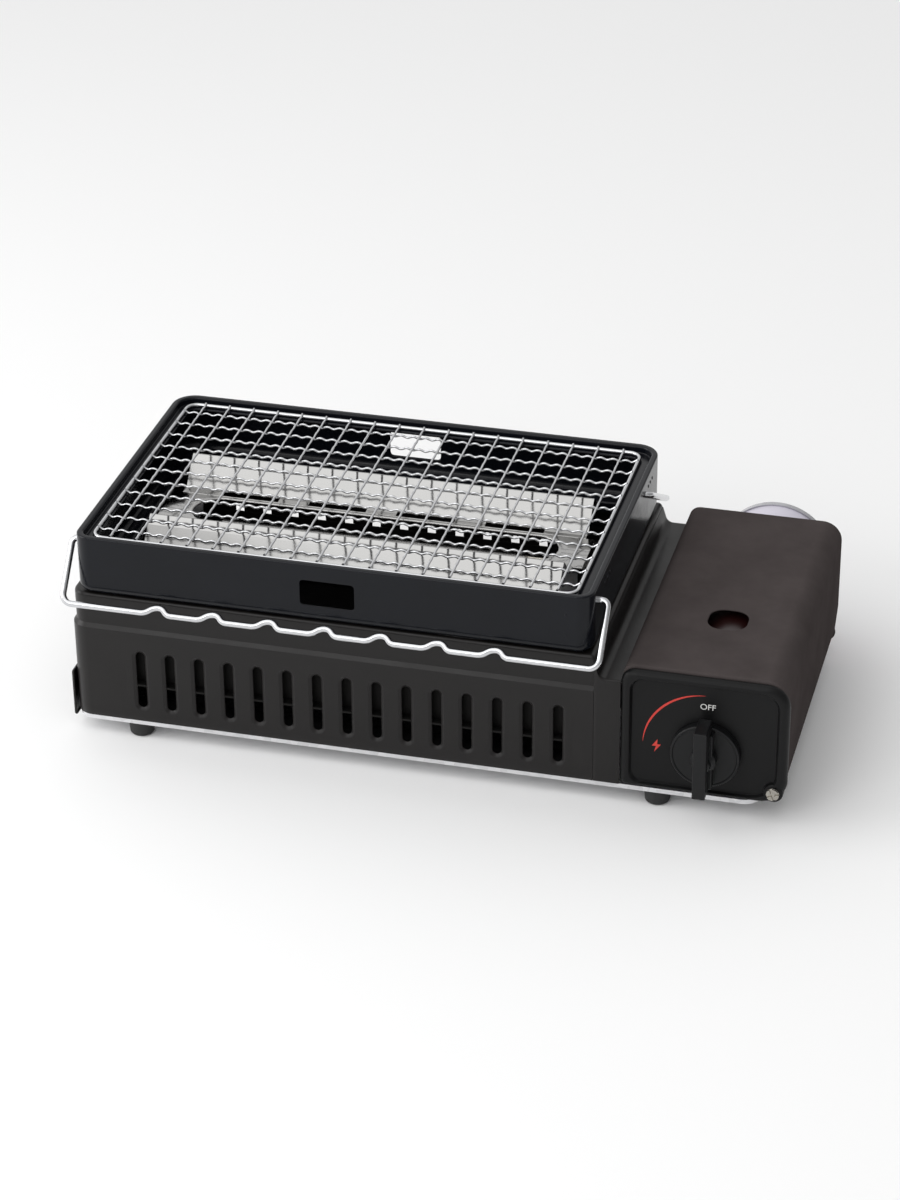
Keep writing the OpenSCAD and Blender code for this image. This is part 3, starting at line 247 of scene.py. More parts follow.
LOOKS = {
    "casing_paint": material("satin_casing_paint", (0.0075, 0.0064, 0.0062), 0.36, grain=0.12, spread=0.05,
                             specular=0.31),
    "panel_paint": material("satin_panel_paint", (0.0060, 0.0060, 0.0063), 0.40, grain=0.10, spread=0.05,
                            specular=0.17),
    "lid_paint": material("satin_lid_paint", (0.066, 0.056, 0.055), 0.60, grain=0.14, spread=0.04,
                          specular=0.0),
    "frame_enamel": material("gloss_frame_enamel", (0.0042, 0.0050, 0.0075), 0.20, grain=0.05, spread=0.05,
                             specular=0.22),
    "tray_enamel": material("gloss_tray_enamel", (0.006, 0.006, 0.0065), 0.16, grain=0.06, coat=0.5),
    "galvanised": add_spangle(material("galvanised_sheet", (0.62, 0.63, 0.64), 0.34, metallic=1.0,
                                       grain=0.05), 240.0, 0.68, 0.84),
    # Near-black colour is painted shade: it keeps the inside behind the casing's air slots dark, where the
    # shield itself is bare steel.
    "shield_steel": material("shade_painted_shield_steel", (0.014, 0.0135, 0.013), 0.6, metallic=0.7,
                             stretch=(0.2, 4, 4), specular=0.2),
    "burner_steel": material("heated_burner_steel", (0.60, 0.59, 0.58), 0.24, metallic=1.0, mottle=0.3),
    "bright_steel": material("mirror_steel", (0.43, 0.427, 0.42), 0.11, metallic=1.0, mottle=0.04,
                             mottle_scale=22.0, grain=0.10, grain_scale=60.0, spread=0.04),
    "wire_chrome": material("plated_wire", (0.62, 0.625, 0.64), 0.17, metallic=1.0, mottle=0.06, grain=0.04),
    "nickel": material("nickel_screw", (0.42, 0.40, 0.36), 0.22, metallic=1.0, grain=0.06),
    "brass": material("turned_brass", (0.70, 0.50, 0.20), 0.28, metallic=1.0),
    "die_cast": material("die_cast_alloy", (0.50, 0.51, 0.52), 0.46, metallic=1.0, grain=0.3,
                         grain_scale=900.0),
    "magnet": material("magnet_iron", (0.10, 0.10, 0.105), 0.5, metallic=0.8, grain=0.2),
    "ceramic": material("glazed_ceramic", (0.80, 0.78, 0.74), 0.2, mottle=0.04, grain=0.03),
    "lead_sleeve": material("red_sleeve", (0.42, 0.03, 0.025), 0.45, grain=0.1),
    "igniter_plastic": material("igniter_plastic", (0.02, 0.02, 0.023), 0.42, grain=0.12),
    "knob_plastic": material("moulded_knob", (0.0058, 0.0060, 0.0066), 0.38, grain=0.16, grain_scale=1800.0,
                             specular=0.25),
    "nylon": material("nylon", (0.72, 0.70, 0.62), 0.4, mottle=0.05, grain=0.06),
    "foot_rubber": material("foot_rubber", (0.012, 0.012, 0.012), 0.62, grain=0.4, grain_scale=1200.0),
    # The near-black band from -0.06 to 0.04 m is painted shade for the canister's shadowed part under the
    # lid; the other bands are its own print and paint.
    "can_paint": add_bands(material("canister_print_and_painted_shade", (0.70, 0.67, 0.76), 0.34, coat=0.1),
                           [(-0.07, (0.60, 0.58, 0.64)), (-0.06, (0.014, 0.0016, 0.0014)),
                            (0.04, (0.66, 0.63, 0.72)), (0.095, (0.50, 0.03, 0.025)),
                            (0.101, (0.66, 0.63, 0.72)), (0.125, (0, 0, 0))]),
    "can_steel": material("tinned_steel", (0.50, 0.50, 0.52), 0.28, metallic=1.0, stretch=(3, 0.3, 3)),
}
WHITE_INK = material("white_ink", (0.72, 0.72, 0.70), 0.5, mottle=0.05, grain=0.2)
RED_INK = material("red_ink", (0.60, 0.034, 0.022), 0.45, mottle=0.1, grain=0.2)


# Mesh tools


class Sheet:
    """Points and faces of one piece, in millimetres."""

    def __init__(self):
        self.points, self.faces = [], []

    def add(self, points):
        """Adds points and returns their numbers."""
        start = len(self.points)
        self.points += [tuple(p) for p in points]
        return list(range(start, len(self.points)))

    def grid(self, rows, skip=None, closed=False):
        """Quads between rows of equal length; skip(middle) leaves a quad out."""
        ids = [self.add(r) for r in rows]
        pairs = list(zip(ids, ids[1:] + ids[:1])) if closed else list(zip(ids, ids[1:]))
        for a, b in pairs:
            for j in range(len(a) - 1):
                face = [a[j], b[j], b[j + 1], a[j + 1]]
                middle = sum((Vector(self.points[k]) for k in face), Vector()) / 4
                if not (skip and skip(middle)):
                    self.faces.append(face)

    def join(self, ids):
        """Quads between closed loops of point numbers."""
        for a, b in zip(ids, ids[1:]):
            for j in range(len(a)):
                k = (j + 1) % len(a)
                self.faces.append([a[j], a[k], b[k], b[j]])

    def bridge(self, loops, close_first=False, close_last=False):
        """Quads between closed loops of equal length, with the end loops filled on request."""
        ids = [self.add(loop) for loop in loops]
        self.join(ids)
        if close_first:
            self.faces.append(ids[0][::-1])
        if close_last:
            self.faces.append(ids[-1])

    def fill(self, outer, inner):
        """Flat area between an outer and an inner loop."""
        loops = [[Vector(p) for p in outer], [Vector(p) for p in inner]]
        ids = self.add(outer) + self.add(inner)
        self.faces += [[ids[k] for k in tri] for tri in tessellate_polygon(loops)]

    def holed(self, rect, rings, place):
        """Flat rectangle (x0, y0, x1, y1) round a hole; rings are (outline, depth), place makes them 3-D."""
        x0, y0, x1, y1 = rect
        corner = dict(zip(((1, 1), (-1, 1), (-1, -1), (1, -1)),
                          self.add(place(x, y, 0) for x, y in ((x1, y1), (x0, y1), (x0, y0), (x1, y0)))))
        outline = rings[0][0]
        cx, cy = (sum(p[k] for p in outline) / len(outline) for k in (0, 1))
        quarter = [(1 if p[0] >= cx - 1e-6 else -1, 1 if p[1] >= cy - 1e-6 else -1) for p in outline]
        ids = [self.add(place(*p, depth) for p in ring) for ring, depth in rings]
        first = ids[0]
        for j in range(len(first)):
            k = (j + 1) % len(first)
            face = [first[j], first[k], corner[quarter[k]]]
            if quarter[j] != quarter[k]:
                face.append(corner[quarter[j]])
            self.faces.append(face)
        self.join(ids)


def arc(x, y, r, start, end, n=8):
    """Points of an arc; angles in degrees."""
    angles = [math.radians(start + (end - start) * i / n) for i in range(n + 1)]
    return [(x + r * math.cos(a), y + r * math.sin(a)) for a in angles]


def fillet(points, radii, n=6):
    """Open path with its inner corners rounded."""
    points = [Vector(p) for p in points]
    out = [points[0]]
    for before, p, after, r in zip(points, points[1:], points[2:], radii):
        to, on = (before - p).normalized(), (after - p).normalized()
        half = to.angle(on) / 2
        if r <= 0:
            out.append(p)
            continue
        middle = p + (to + on).normalized() * (r / math.sin(half))
        a, b = p + to * (r / math.tan(half)) - middle, p + on * (r / math.tan(half)) - middle
        turn = a.angle(b)
        out += [middle + (a * math.sin((1 - i / n) * turn) + b * math.sin(i / n * turn)) / math.sin(turn)
                for i in range(n + 1)]
    return out + [points[-1]]


def round_loop(x0, y0, x1, y1, radii, n=6):
    """Closed rectangle with its own radius at each corner, from bottom left anticlockwise."""
    bl, br, tr, tl = radii
    return (arc(x0 + bl, y0 + bl, bl, 180, 270, n) + arc(x1 - br, y0 + br, br, 270, 360, n)
            + arc(x1 - tr, y1 - tr, tr, 0, 90, n) + arc(x0 + tl, y1 - tl, tl, 90, 180, n))


def stadium(x, low, high, r, n=12):
    """Closed upright slot with round ends."""
    return arc(x, low, r, 180, 360, n) + arc(x, high, r, 0, 180, n)


def dress(obj, body, look, nodes=()):
    """Gives a piece its material and body, and hides the nodes that it stands for."""
    obj.data.materials.clear()
    obj.data.materials.append(look)
    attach(obj, body)
    if nodes:
        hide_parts(*nodes)


def build(name, sheet, body, slot, nodes=(), look=None, thickness=0.0, bevel=0.0, sharp=40.0):
    """Mesh object from a Sheet, with its thickness, rounded edges and even shading."""
    mesh = bpy.data.meshes.new(name)
    mesh.from_pydata([at(p) for p in sheet.points], [], sheet.faces)
    bm = bmesh.new()
    bm.from_mesh(mesh)
    bmesh.ops.remove_doubles(bm, verts=bm.verts, dist=2e-6)
    bmesh.ops.dissolve_degenerate(bm, dist=1e-6, edges=bm.edges)
    bmesh.ops.recalc_face_normals(bm, faces=bm.faces)
    bm.to_mesh(mesh)
    bm.free()
    mesh.shade_smooth()
    mesh.set_sharp_from_angle(angle=math.radians(sharp))
    obj = bpy.data.objects.new(name, mesh)
    bpy.context.scene.collection.objects.link(obj)
    if thickness:
        solid = obj.modifiers.new("thickness", "SOLIDIFY")
        solid.thickness, solid.offset = thickness * MM, -1.0
    if bevel:
        edge = obj.modifiers.new("edges", "BEVEL")
        edge.width, edge.segments, edge.limit_method = bevel * MM, 3, "ANGLE"
        edge.angle_limit = math.radians(30)
    normals = obj.modifiers.new("normals", "WEIGHTED_NORMAL")
    normals.keep_sharp = True
    dress(obj, body, look or LOOKS[slot], nodes)


def wire(name, paths, r, body, slot, nodes=(), closed=False, sides=3):
    """Round wires along paths of points."""
    curve = bpy.data.curves.new(name, "CURVE")
    curve.dimensions, curve.bevel_depth, curve.bevel_resolution = "3D", r * MM, sides
    curve.use_fill_caps = True
    for path in paths:
        spline = curve.splines.new("POLY")
        spline.points.add(len(path) - 1)
        spline.use_cyclic_u = closed
        spline.use_smooth = True
        for point, p in zip(spline.points, path):
            point.co = (*at(p), 1.0)
    obj = bpy.data.objects.new(name, curve)
    bpy.context.scene.collection.objects.link(obj)
    dress(obj, body, LOOKS[slot], nodes)


def lathe(sheet, profile, axis, centre, n=48):
    """Turns (radius, place) points about an axis through centre; both ends are closed."""
    loops = []
    for r, place in profile:
        ring = []
        for k in range(n):
            c, s = math.cos(math.tau * k / n), math.sin(math.tau * k / n)
            if axis == "y":
                ring.append((centre[0] + r * c, place, centre[1] + r * s))
            else:
                ring.append((centre[0] + r * c, centre[1] + r * s, place))
        loops.append(ring)
    sheet.bridge(loops, close_first=True, close_last=True)


def corner_stops(x, y, r, start, end, n):
    """Points (x, y) and outward normals along a rounded corner."""
    points, normals = arc(x, y, r, start, end, n), arc(0, 0, 1, start, end, n)
    return [(px, py, nx, ny) for (px, py), (nx, ny) in zip(points, normals)]


def ring_stations(x0, x1, hy, front_r, back_r, front, n):
    """Stops round a rounded rectangle, with extra ones on the front and the back."""
    stops = [(x, -hy, 0, -1) for x in front]
    corners = [(x1 - front_r, -hy + front_r, front_r, 270), (x1 - back_r, hy - back_r, back_r, 0),
               (x0 + back_r, hy - back_r, back_r, 90), (x0 + front_r, -hy + front_r, front_r, 180)]
    straights = [[], [(x, hy, 0, 1) for x in reversed(front)], [], []]
    for (cx, cy, r, start), straight in zip(corners, straights):
        stops += corner_stops(cx, cy, r, start, start + 90, n) + straight
    return stops


def swept(stops, profile):
    """Rows of points: the profile's (inset, height) at each stop."""
    return [[(x - inset * nx, y - inset * ny, z) for inset, z in profile] for x, y, nx, ny in stops]


# Casing


def casing():
    """Walls with a step line, rimmed air slots and the tray's door, and a rim rolled down at the right."""
    sheet = Sheet()
    wall = fillet([(0, BASE_Z), (0, STEP_Z), (STEP_IN, STEP_Z + STEP_H), (STEP_IN, RIM_Z),
                   (STEP_IN + 3, RIM_Z)], [0.6, 0.5, 2.2])
    profile = [wall[0]] + [Vector((0, z)) for z in (CELL_LOW, DOOR_TOP, CELL_HIGH)] + wall[1:]
    first = SLOT_SHIFT - SLOTS / 2 * SLOT_PITCH
    last = SLOT_SHIFT + SLOTS / 2 * SLOT_PITCH
    bounds = [first + i * SLOT_PITCH for i in range(SLOTS + 1)]
    left = BODY_LEFT + BODY_R
    stops = [(x, -WALL_Y, 0, -1) for x in [ROLL_X] + bounds[::-1]]
    for y, start in ((-WALL_Y + BODY_R, 270), (WALL_Y - BODY_R, 180)):
        stops += corner_stops(left, y, BODY_R, start, start - 90, 12)
        if start == 270:
            stops += [(BODY_LEFT, y, -1, 0) for y in (-DOOR_Y, DOOR_Y)]
    stops += [(x, WALL_Y, 0, 1) for x in bounds + [ROLL_X]]

    def gone(p):
        slots = abs(p.y) > WALL_Y - 0.5 and first < p.x < last and CELL_LOW < p.z < CELL_HIGH
        door = p.x < BODY_LEFT + 0.5 and abs(p.y) < DOOR_Y and p.z < DOOR_TOP
        return slots or door

    rows = swept(stops, profile)
    sheet.grid(rows, gone)
    sheet.fill([r[-1] for r in rows],
               [(x, y, RIM_Z) for x, y in round_loop(-OPEN_X, -OPEN_Y, OPEN_X, OPEN_Y, [OPEN_R] * 4, 10)])
    roll_r = SEAM_X - ROLL_X
    rolled = []
    for x, z in arc(ROLL_X, RIM_Z - roll_r, roll_r, 90, 8):
        front = [(x, inset - WALL_Y, h - (RIM_Z - z if h > STEP_Z + 2 * STEP_H else 0))
                 for inset, h in profile]
        rolled.append(front + [(x, -y, h) for x, y, h in reversed(front)])
    sheet.grid(rolled)
    for i in range(SLOTS):
        middle = bounds[i] + SLOT_PITCH / 2
        rings = [(stadium(middle, SLOT_LOW, SLOT_HIGH, SLOT_HALF + w), depth) for w, depth in SLOT_RIM]
        for side in (-1, 1):
            sheet.holed((bounds[i], CELL_LOW, bounds[i + 1], CELL_HIGH), rings,
                        lambda x, z, depth, s=side: (x, s * (WALL_Y - depth), z))
    build("casing", sheet, "body", "casing_paint", ["body_shell"], thickness=SHEET_T, sharp=50)


def deck():
    """Sunk channel with rolled front and back edges, and the wall of the gas bay."""
    sheet = Sheet()
    left, foot = SEAM_X + 0.15, PANEL_LEFT - 0.1
    heel = arc(left + HEEL_R + 1.8, DECK_Z + HEEL_R, HEEL_R, 195, 270, 12)
    valley = [(left, DECK_RISE)] + heel + [(foot, DECK_Z)]
    rows = []
    for x, z in valley:
        section = fillet([(-WALL_Y, BASE_Z), (-WALL_Y, z), (WALL_Y, z), (WALL_Y, BASE_Z)], [1.5, 3.5])
        rows.append([(x, y, h) for y, h in section])
    sheet.grid(rows)
    wall = fillet([(foot, DECK_Z), (BAY_X, DECK_Z), (BAY_X, PASS_HIGH)], [1.5])
    wall += [Vector((BAY_X, z)) for z in (PASS_LOW, BASE_Z)]
    cells = [PASSES[0][0]] + [row[1] for row in PASSES]

    def gone(p):
        return p.x > BAY_X - 0.1 and PASS_LOW < p.z < PASS_HIGH and p.y < cells[-1]

    sheet.grid([[(x, y, z) for x, z in wall] for y in cells + [BAY_REAR]], gone)
    for y0, y1, y, z, r in PASSES:
        sheet.holed((y0, PASS_LOW, y1, PASS_HIGH), [(arc(y, z, r, 0, 345, 23), 0)],
                    lambda a, b, d: (BAY_X - d, a, b))
    build("side_channel", sheet, "body", "casing_paint", ["side_deck"], thickness=SHEET_T)


# Top frame


def top_frame():
    """Ledge, rim, wall and skirt in one section, with a window in the front and the back."""
    sheet = Sheet()
    path = fillet([(LEDGE_IN, LEDGE_Z), (FRAME_RIM, LEDGE_Z), (FRAME_RIM, FRAME_TOP), (0, FRAME_TOP),
                   (0, RIM_Z), (SKIRT_IN, RIM_Z), (SKIRT_IN, SKIRT_Z)], [0.8, 1.3, 1.1, TUCK_R, 0.6], 8)
    wall = [i for i, p in enumerate(path) if p.x < 1e-6 and RIM_Z + TUCK_R + 1 < p.y]
    cut = wall[-1] + 1
    profile = path[:cut] + [Vector((0, z)) for z in (126, PANE_HIGH, 118, PANE_LOW)] + path[cut:]
    stops = ring_stations(FRAME_LEFT, FRAME_RIGHT, HALF_D, FRAME_FRONT_R, FRAME_BACK_R,
                          [-PANE_X, PANE_X], 14)

    def gone(p):
        return abs(p.y) > HALF_D - 0.5 and abs(p.x) < PANE_X and PANE_LOW < p.z < PANE_HIGH

    sheet.grid(swept(stops, profile), gone, closed=True)
    rings = [(round_loop(WINDOW_MID - WINDOW_X - w, WINDOW_LOW - w, WINDOW_MID + WINDOW_X + w,
                         WINDOW_HIGH + w, [WINDOW_R + w] * 4), depth) for w, depth in WINDOW_RIM]
    for side in (-1, 1):
        sheet.holed((-PANE_X, PANE_LOW, PANE_X, PANE_HIGH), rings,
                    lambda x, z, depth, s=side: (x, s * (HALF_D - depth), z))
    build("drawn_frame", sheet, "frame", "frame_enamel", ["top_frame"], thickness=SHEET_T)
    dots = Sheet()
    for side, x in ((-1, FRAME_LEFT), (1, FRAME_RIGHT)):
        for y in SIDE_DIMPLES:
            dome(dots, (x, y, DIMPLE_Z), (side, 0, 0), 1.1, 0.45)
    for z in FRONT_DIMPLES:
        dome(dots, (FRONT_DIMPLE_X, -HALF_D, z), (0, -1, 0), 0.9, 0.25)
    build("frame_dimples", dots, "frame", "frame_enamel")


def dome(sheet, centre, normal, r, h, n=16):
    """Low round bump on a surface."""
    normal = Vector(normal)
    across = normal.orthogonal().normalized()
    up = normal.cross(across)
    loops = []
    for k in range(5):
        a = math.radians(90 * k / 4.2)
        middle = Vector(centre) + normal * (h * math.sin(a) - 0.05)
        loops.append([middle + r * math.cos(a) * (across * math.cos(math.tau * i / n)
                                                  + up * math.sin(math.tau * i / n)) for i in range(n)])
    sheet.bridge(loops, close_last=True)


# Net and skewer rests


def net():
    """Border wire, wires from front to back, and crimped wires across."""
    loop = round_loop(-NET_X, -NET_Y, NET_X, NET_Y, [NET_R] * 4, 8)
    wire("net_rim_wire", [[(NET_MID + x, y, NET_Z) for x, y in loop]], BORDER_R, "net", "wire_chrome",
         ["net_border"], True, 4)
    depth_pitch = 2 * (NET_X - NET_END) / (DEPTH_WIRES - 1)
    cross_pitch = 2 * (NET_Y - NET_END) / (CROSS_WIRES - 1)
    layer = WIRE_R + 0.05

    def crimped(half, pitch, count, base, swing, fixed, along_x):
        """One wire: waves between crossings, and ends that climb onto the border."""
        path = []
        steps = int(half * 2 / pitch * CRIMP_STEPS)
        for i in range(steps + 1):
            s = -half + 2 * half * i / steps
            wave = swing * (1 - math.cos(2 * math.tau * (s / pitch + (0.5 if count % 2 == 0 else 0)))) / 2
            lift = max(0.0, 1 - (half - abs(s)) / NET_CLIMB)
            z = base + wave * (1 - lift) + lift * lift * (NET_Z + BORDER_R + 0.35 - base)
            path.append((NET_MID + s, fixed, z) if along_x else (NET_MID + fixed, s, z))
        return path

    depth = [crimped(NET_Y + 0.1, cross_pitch, CROSS_WIRES, NET_Z + layer - 0.15, DEPTH_SWING,
                     (i - (DEPTH_WIRES - 1) / 2) * depth_pitch, False) for i in range(DEPTH_WIRES)]
    cross = [crimped(NET_X + 0.1, depth_pitch, DEPTH_WIRES, NET_Z - layer - 0.1, CROSS_SWING,
                     (i - (CROSS_WIRES - 1) / 2) * cross_pitch, True) for i in range(CROSS_WIRES)]
    wire("net_wires_front_to_back", depth, WIRE_R, "net", "wire_chrome", ["net_depth_wires"], sides=2)
    wire("net_wires_crimped", cross, WIRE_R, "net", "wire_chrome", ["net_cross_wires"], sides=2)


def half_hump(w):
    """Foot to crest: two equal arcs that meet halfway up."""
    turn = 2 * math.atan(HUMP_H / w)
    r = w / (2 * math.sin(turn))
    turn = math.degrees(turn)
    return arc(-w, r, r, -90, turn - 90, 6) + arc(0, HUMP_H - r, r, 90 + turn, 90, 6)[1:]


def skewer_rest(name, side, half, pivot_y, arm, tilt, body, nodes):
    """Wire bail drawn flat, (x, along the arm), then tilted about its pivot."""
    end = ([(REST_STUB, 0)] + arc(half - REST_BEND, -REST_BEND, REST_BEND, 90, 0, 10)
           + arc(half - REST_CORNER, REST_CORNER - arm, REST_CORNER, 0, -90, 10))
    flat = [(-a, b) for a, b in end]
    hump = half_hump(HUMP_RISE) + [(-a, b) for a, b in half_hump(HUMP_FALL)[-2::-1]]
    for i in range(HUMPS):
        x = HUMP_MID + (i - (HUMPS - 1) / 2) * HUMP_PITCH
        flat += [(x + a, b - arm) for a, b in hump]
    flat += end[::-1]
    tilt = math.radians(tilt)
    path = [(REST_MID + a, side * (pivot_y - b * math.cos(tilt)), REST_Z + b * math.sin(tilt))
            for a, b in flat]
    wire(name, [path], REST_R, body, "wire_chrome", nodes, sides=4)


# Radiant plate


def radiant_plate():
    """Two ridges, a slotted floor with short slits beside the slot, and a tab at each end."""
    sheet = Sheet()
    crest, fall = 5.5, 4.5
    ridge = fillet([(SLIT_FAR, PLATE_Z), (FOOT_IN, PLATE_Z), (RIDGE_Y - crest, PEAK_Z - fall),
                    (RIDGE_Y, PEAK_Z), (RIDGE_Y + crest, PEAK_Z - fall), (FOOT_OUT, PLATE_Z),
                    (FOOT_OUT + 2, PLATE_Z)], [1.0, 2.5, 1.2, 2.5, 1.4])
    path = [Vector((y, PLATE_Z)) for y in (FLOOR_Y, SLIT_NEAR)] + ridge
    middles = [(i - (SLITS - 1) / 2) * SLIT_PITCH + SLIT_SHIFT for i in range(SLITS)]
    stops = [-PLATE_X] + [m + s * SLIT_HALF for m in middles for s in (-1, 1)] + [PLATE_X]

    def gone(p):
        return (SLIT_NEAR < abs(p.y) < SLIT_FAR
                and any(abs(p.x - PLATE_MID - m) < SLIT_HALF for m in middles))

    for side in (-1, 1):
        sheet.grid([[(PLATE_MID + x, side * p.x, p.y) for p in path] for x in stops], gone)
    half = PLATE_SLOT_X - PLATE_SLOT_Y
    rings = [([(x, y) for y, x in stadium(0, -half, half, PLATE_SLOT_Y + w)], depth)
             for w, depth in PLATE_SLOT_RIM]
    end = PLATE_X + PLATE_TAB
    sheet.holed((-end, -FLOOR_Y, end, FLOOR_Y), rings, lambda x, y, d: (PLATE_MID + x, y, PLATE_Z - d))
    build("radiant_sheet", sheet, "body", "bright_steel", ["radiant_plate"], thickness=PLATE_T)


# Gas bay


def panel():
    """Plate with a rolled bezel, blended from its outline to the sunk face, and the ear for the hinge."""
    sheet = Sheet()
    outer = (PANEL_LEFT, PANEL_LOW, PANEL_RIGHT, PANEL_TOP)
    inner = (PANEL_LEFT + BEZEL_W, PANEL_LOW + 2.8, PANEL_RIGHT - BEZEL_W, PANEL_TOP - 4.8)
    outer_r, inner_r = (1.0, 14.0, 13.0, 8.0), (8.0, 16.0, 10.0, 8.0)
    section = fillet([(0, PANEL_BACK), (0, BEZEL_FACE), (0.8 * BEZEL_W, BEZEL_FACE), (BEZEL_W, PANEL_FACE),
                      (BEZEL_W + 0.8, PANEL_FACE)], [4.2, 0.9, 0.5], 8)
    loops = []
    for inset, y in section:
        t = min(inset / BEZEL_W, 1.0)
        bounds = [a + (b - a) * t for a, b in zip(outer, inner)]
        more = max(inset - BEZEL_W, 0.0)
        radii = [a + (b - a) * t for a, b in zip(outer_r, inner_r)]
        loop = round_loop(bounds[0] + more, bounds[1] + more, bounds[2] - more, bounds[3] - more, radii, 10)
        loops.append([(x, y, z) for x, z in loop])
    sheet.bridge(loops, close_first=True, close_last=True)
    ear = fillet([(NEAR_AXIS, BEZEL_FACE), (EAR_R, BEZEL_FACE), (EAR_R, PANEL_BACK)], [1.2])
    lathe(sheet, ear, "y", (HINGE_X, HINGE_Z))
    build("bezel_panel", sheet, "body", "panel_paint", ["control_panel"], sharp=50)


def lid():
    """Sheet folded over the gas bay, with a rolled front lip, the sight hole and two hinge ears."""
    sheet = Sheet()
    (x0, x1), (y0, y1) = SIGHT_CELL_X, SIGHT_CELL_Y
    path = fillet([(LID_LEFT, DECK_Z + 0.6), (LID_LEFT, LID_TOP), (LID_RIGHT, LID_TOP),
                   (LID_RIGHT, LID_LOW)], [LID_BEND, LID_R], 14)
    cut = next(i for i, p in enumerate(path) if p.x > x0)
    path = path[:cut] + [Vector((x, LID_TOP)) for x in SIGHT_CELL_X] + path[cut:]

    def gone(p):
        return p.z > LID_TOP - 0.1 and x0 < p.x < x1 and y0 < p.y < y1

    inward = []
    for before, after in zip(path[:1] + path, path[1:] + path[-1:]):
        along = (after - before).normalized()
        inward.append(Vector((along.y, -along.x)))
    lip = [(LID_FRONT + back, inset) for back, inset in LID_LIP]
    rows = []
    for y, inset in lip + [(y, 0.0) for y in (y0, y1, LID_REAR - LID_CHAMFER, LID_REAR)]:
        row = [(p.x + inset * i.x, y, p.y + inset * i.y) for p, i in zip(path, inward)]
        if y == LID_REAR:
            row[-1] = (LID_RIGHT, y, LID_LOW + LID_CHAMFER)
        rows.append(row)
    sheet.grid(rows, gone)
    rings = [(round_loop(SIGHT_X - SIGHT - w, SIGHT_Y - SIGHT - w, SIGHT_X + SIGHT + w, SIGHT_Y + SIGHT + w,
                         [SIGHT_R + w] * 4, 8), depth) for w, depth in SIGHT_RIM]
    sheet.holed((x0, y0, x1, y1), rings, lambda x, y, d: (x, y, LID_TOP - d))
    build("folded_lid", sheet, "lid", "lid_paint", ["canister_lid"], thickness=LID_T, sharp=50)
    ears = Sheet()
    outer = LID_RIGHT - 0.5
    outline = ([(outer, LID_EAR_TOP), (HINGE_X - EAR_R, LID_EAR_TOP)]
               + arc(HINGE_X, HINGE_Z, EAR_R, 180, 360, 20) + [(outer, HINGE_Z + 4)])
    for y in (LID_FRONT, LID_EAR_Y):
        ears.bridge([[(x, y, z) for x, z in outline], [(x, y + SHEET_T, z) for x, z in outline]], True, True)
    build("lid_ears", ears, "lid", "lid_paint")


def knob():
    """Disc with a sunk face, a stepped hub, and a grip bar between two ribs."""
    sheet = Sheet()
    disc = fillet([(NEAR_AXIS, KNOB_Y), (DISC_R, KNOB_Y), (DISC_R, DISC_Y), (DISC_R - 1.4, DISC_Y)],
                  [0.3, 0.9])
    disc += [Vector(p) for p in ((DISC_R - 1.8, DISC_Y + 0.35), (NEAR_AXIS, DISC_Y + 0.35))]
    lathe(sheet, disc, "y", (KNOB_X, KNOB_Z), 72)
    hub = fillet([(NEAR_AXIS, DISC_Y + 1), (HUB_R, DISC_Y + 1), (HUB_R, DISC_Y - 5.0),
                  (HUB_R - 2.2, DISC_Y - 7.5), (HUB_R - 2.6, DISC_Y - 11.0), (NEAR_AXIS, DISC_Y - 11.5)],
                 [0.1, 0.8, 0.8, 1.6])
    lathe(sheet, hub, "y", (KNOB_X, KNOB_Z))
    build("knob_disc", sheet, "knob", "knob_plastic")
    grip = Sheet()
    half, top, low = GRIP_W / 2, KNOB_Z + GRIP_UP, KNOB_Z - GRIP_DOWN
    side = [(DISC_Y + 1, low), (GRIP_Y, low), (GRIP_Y, top), (DISC_Y + 1, top)]
    grip.bridge([[(KNOB_X + x, y, z) for y, z in side] for x in (-half, half)], True, True)
    rib = [(DISC_Y + 1, low + 1), (DISC_Y - 6, low + 1), (DISC_Y - 6, top - 7), (DISC_Y + 1, top - 6)]
    for s in (-1, 1):
        grip.bridge([[(KNOB_X + s * x, y, z) for y, z in rib] for x in (half - 1, half + 1.6)], True, True)
    build("knob_grip", grip, "knob", "knob_plastic", ["control_knob"], bevel=0.6)


def hinge_screw():
    """Front screw, its cross recess left between four quarters, and the rear rivet."""
    sheet = Sheet()
    seat = BEZEL_FACE + 0.2
    head = BEZEL_FACE - 0.7
    screw = fillet([(NEAR_AXIS, head), (SCREW_R, head), (SCREW_R, seat), (PIN_R, seat), (PIN_R, SCREW_END),
                    (NEAR_AXIS, SCREW_END)], [0.2, 0, 0, 0])
    lathe(sheet, screw, "y", (HINGE_X, HINGE_Z))
    for degrees in (20, 110, 200, 290):
        c, d = math.cos(math.radians(degrees)), math.sin(math.radians(degrees))
        quarter = [(HINGE_X + c * x - d * z, HINGE_Z + d * x + c * z)
                   for x, z in [(0.75, 0.75)] + arc(0, 0, SCREW_R - 0.1, 12, 78, 10)]
        sheet.bridge([[(x, y, z) for x, z in quarter] for y in (BEZEL_FACE - 0.6, BEZEL_FACE - 1.7)],
                     True, True)
    half = [(NEAR_AXIS, 3.2), (2.6, 3.1), (SCREW_R, 2.0), (SCREW_R, 1.6), (PIN_R, 1.6)]
    rivet = [(r, LID_EAR_Y - y) for r, y in half] + [(r, LID_EAR_Y + y) for r, y in reversed(half)]
    lathe(sheet, rivet, "y", (HINGE_X, HINGE_Z))
    build("hinge_screw_and_rivet", sheet, "body", "nickel", ["lid_hinge_pins"], bevel=0.15)


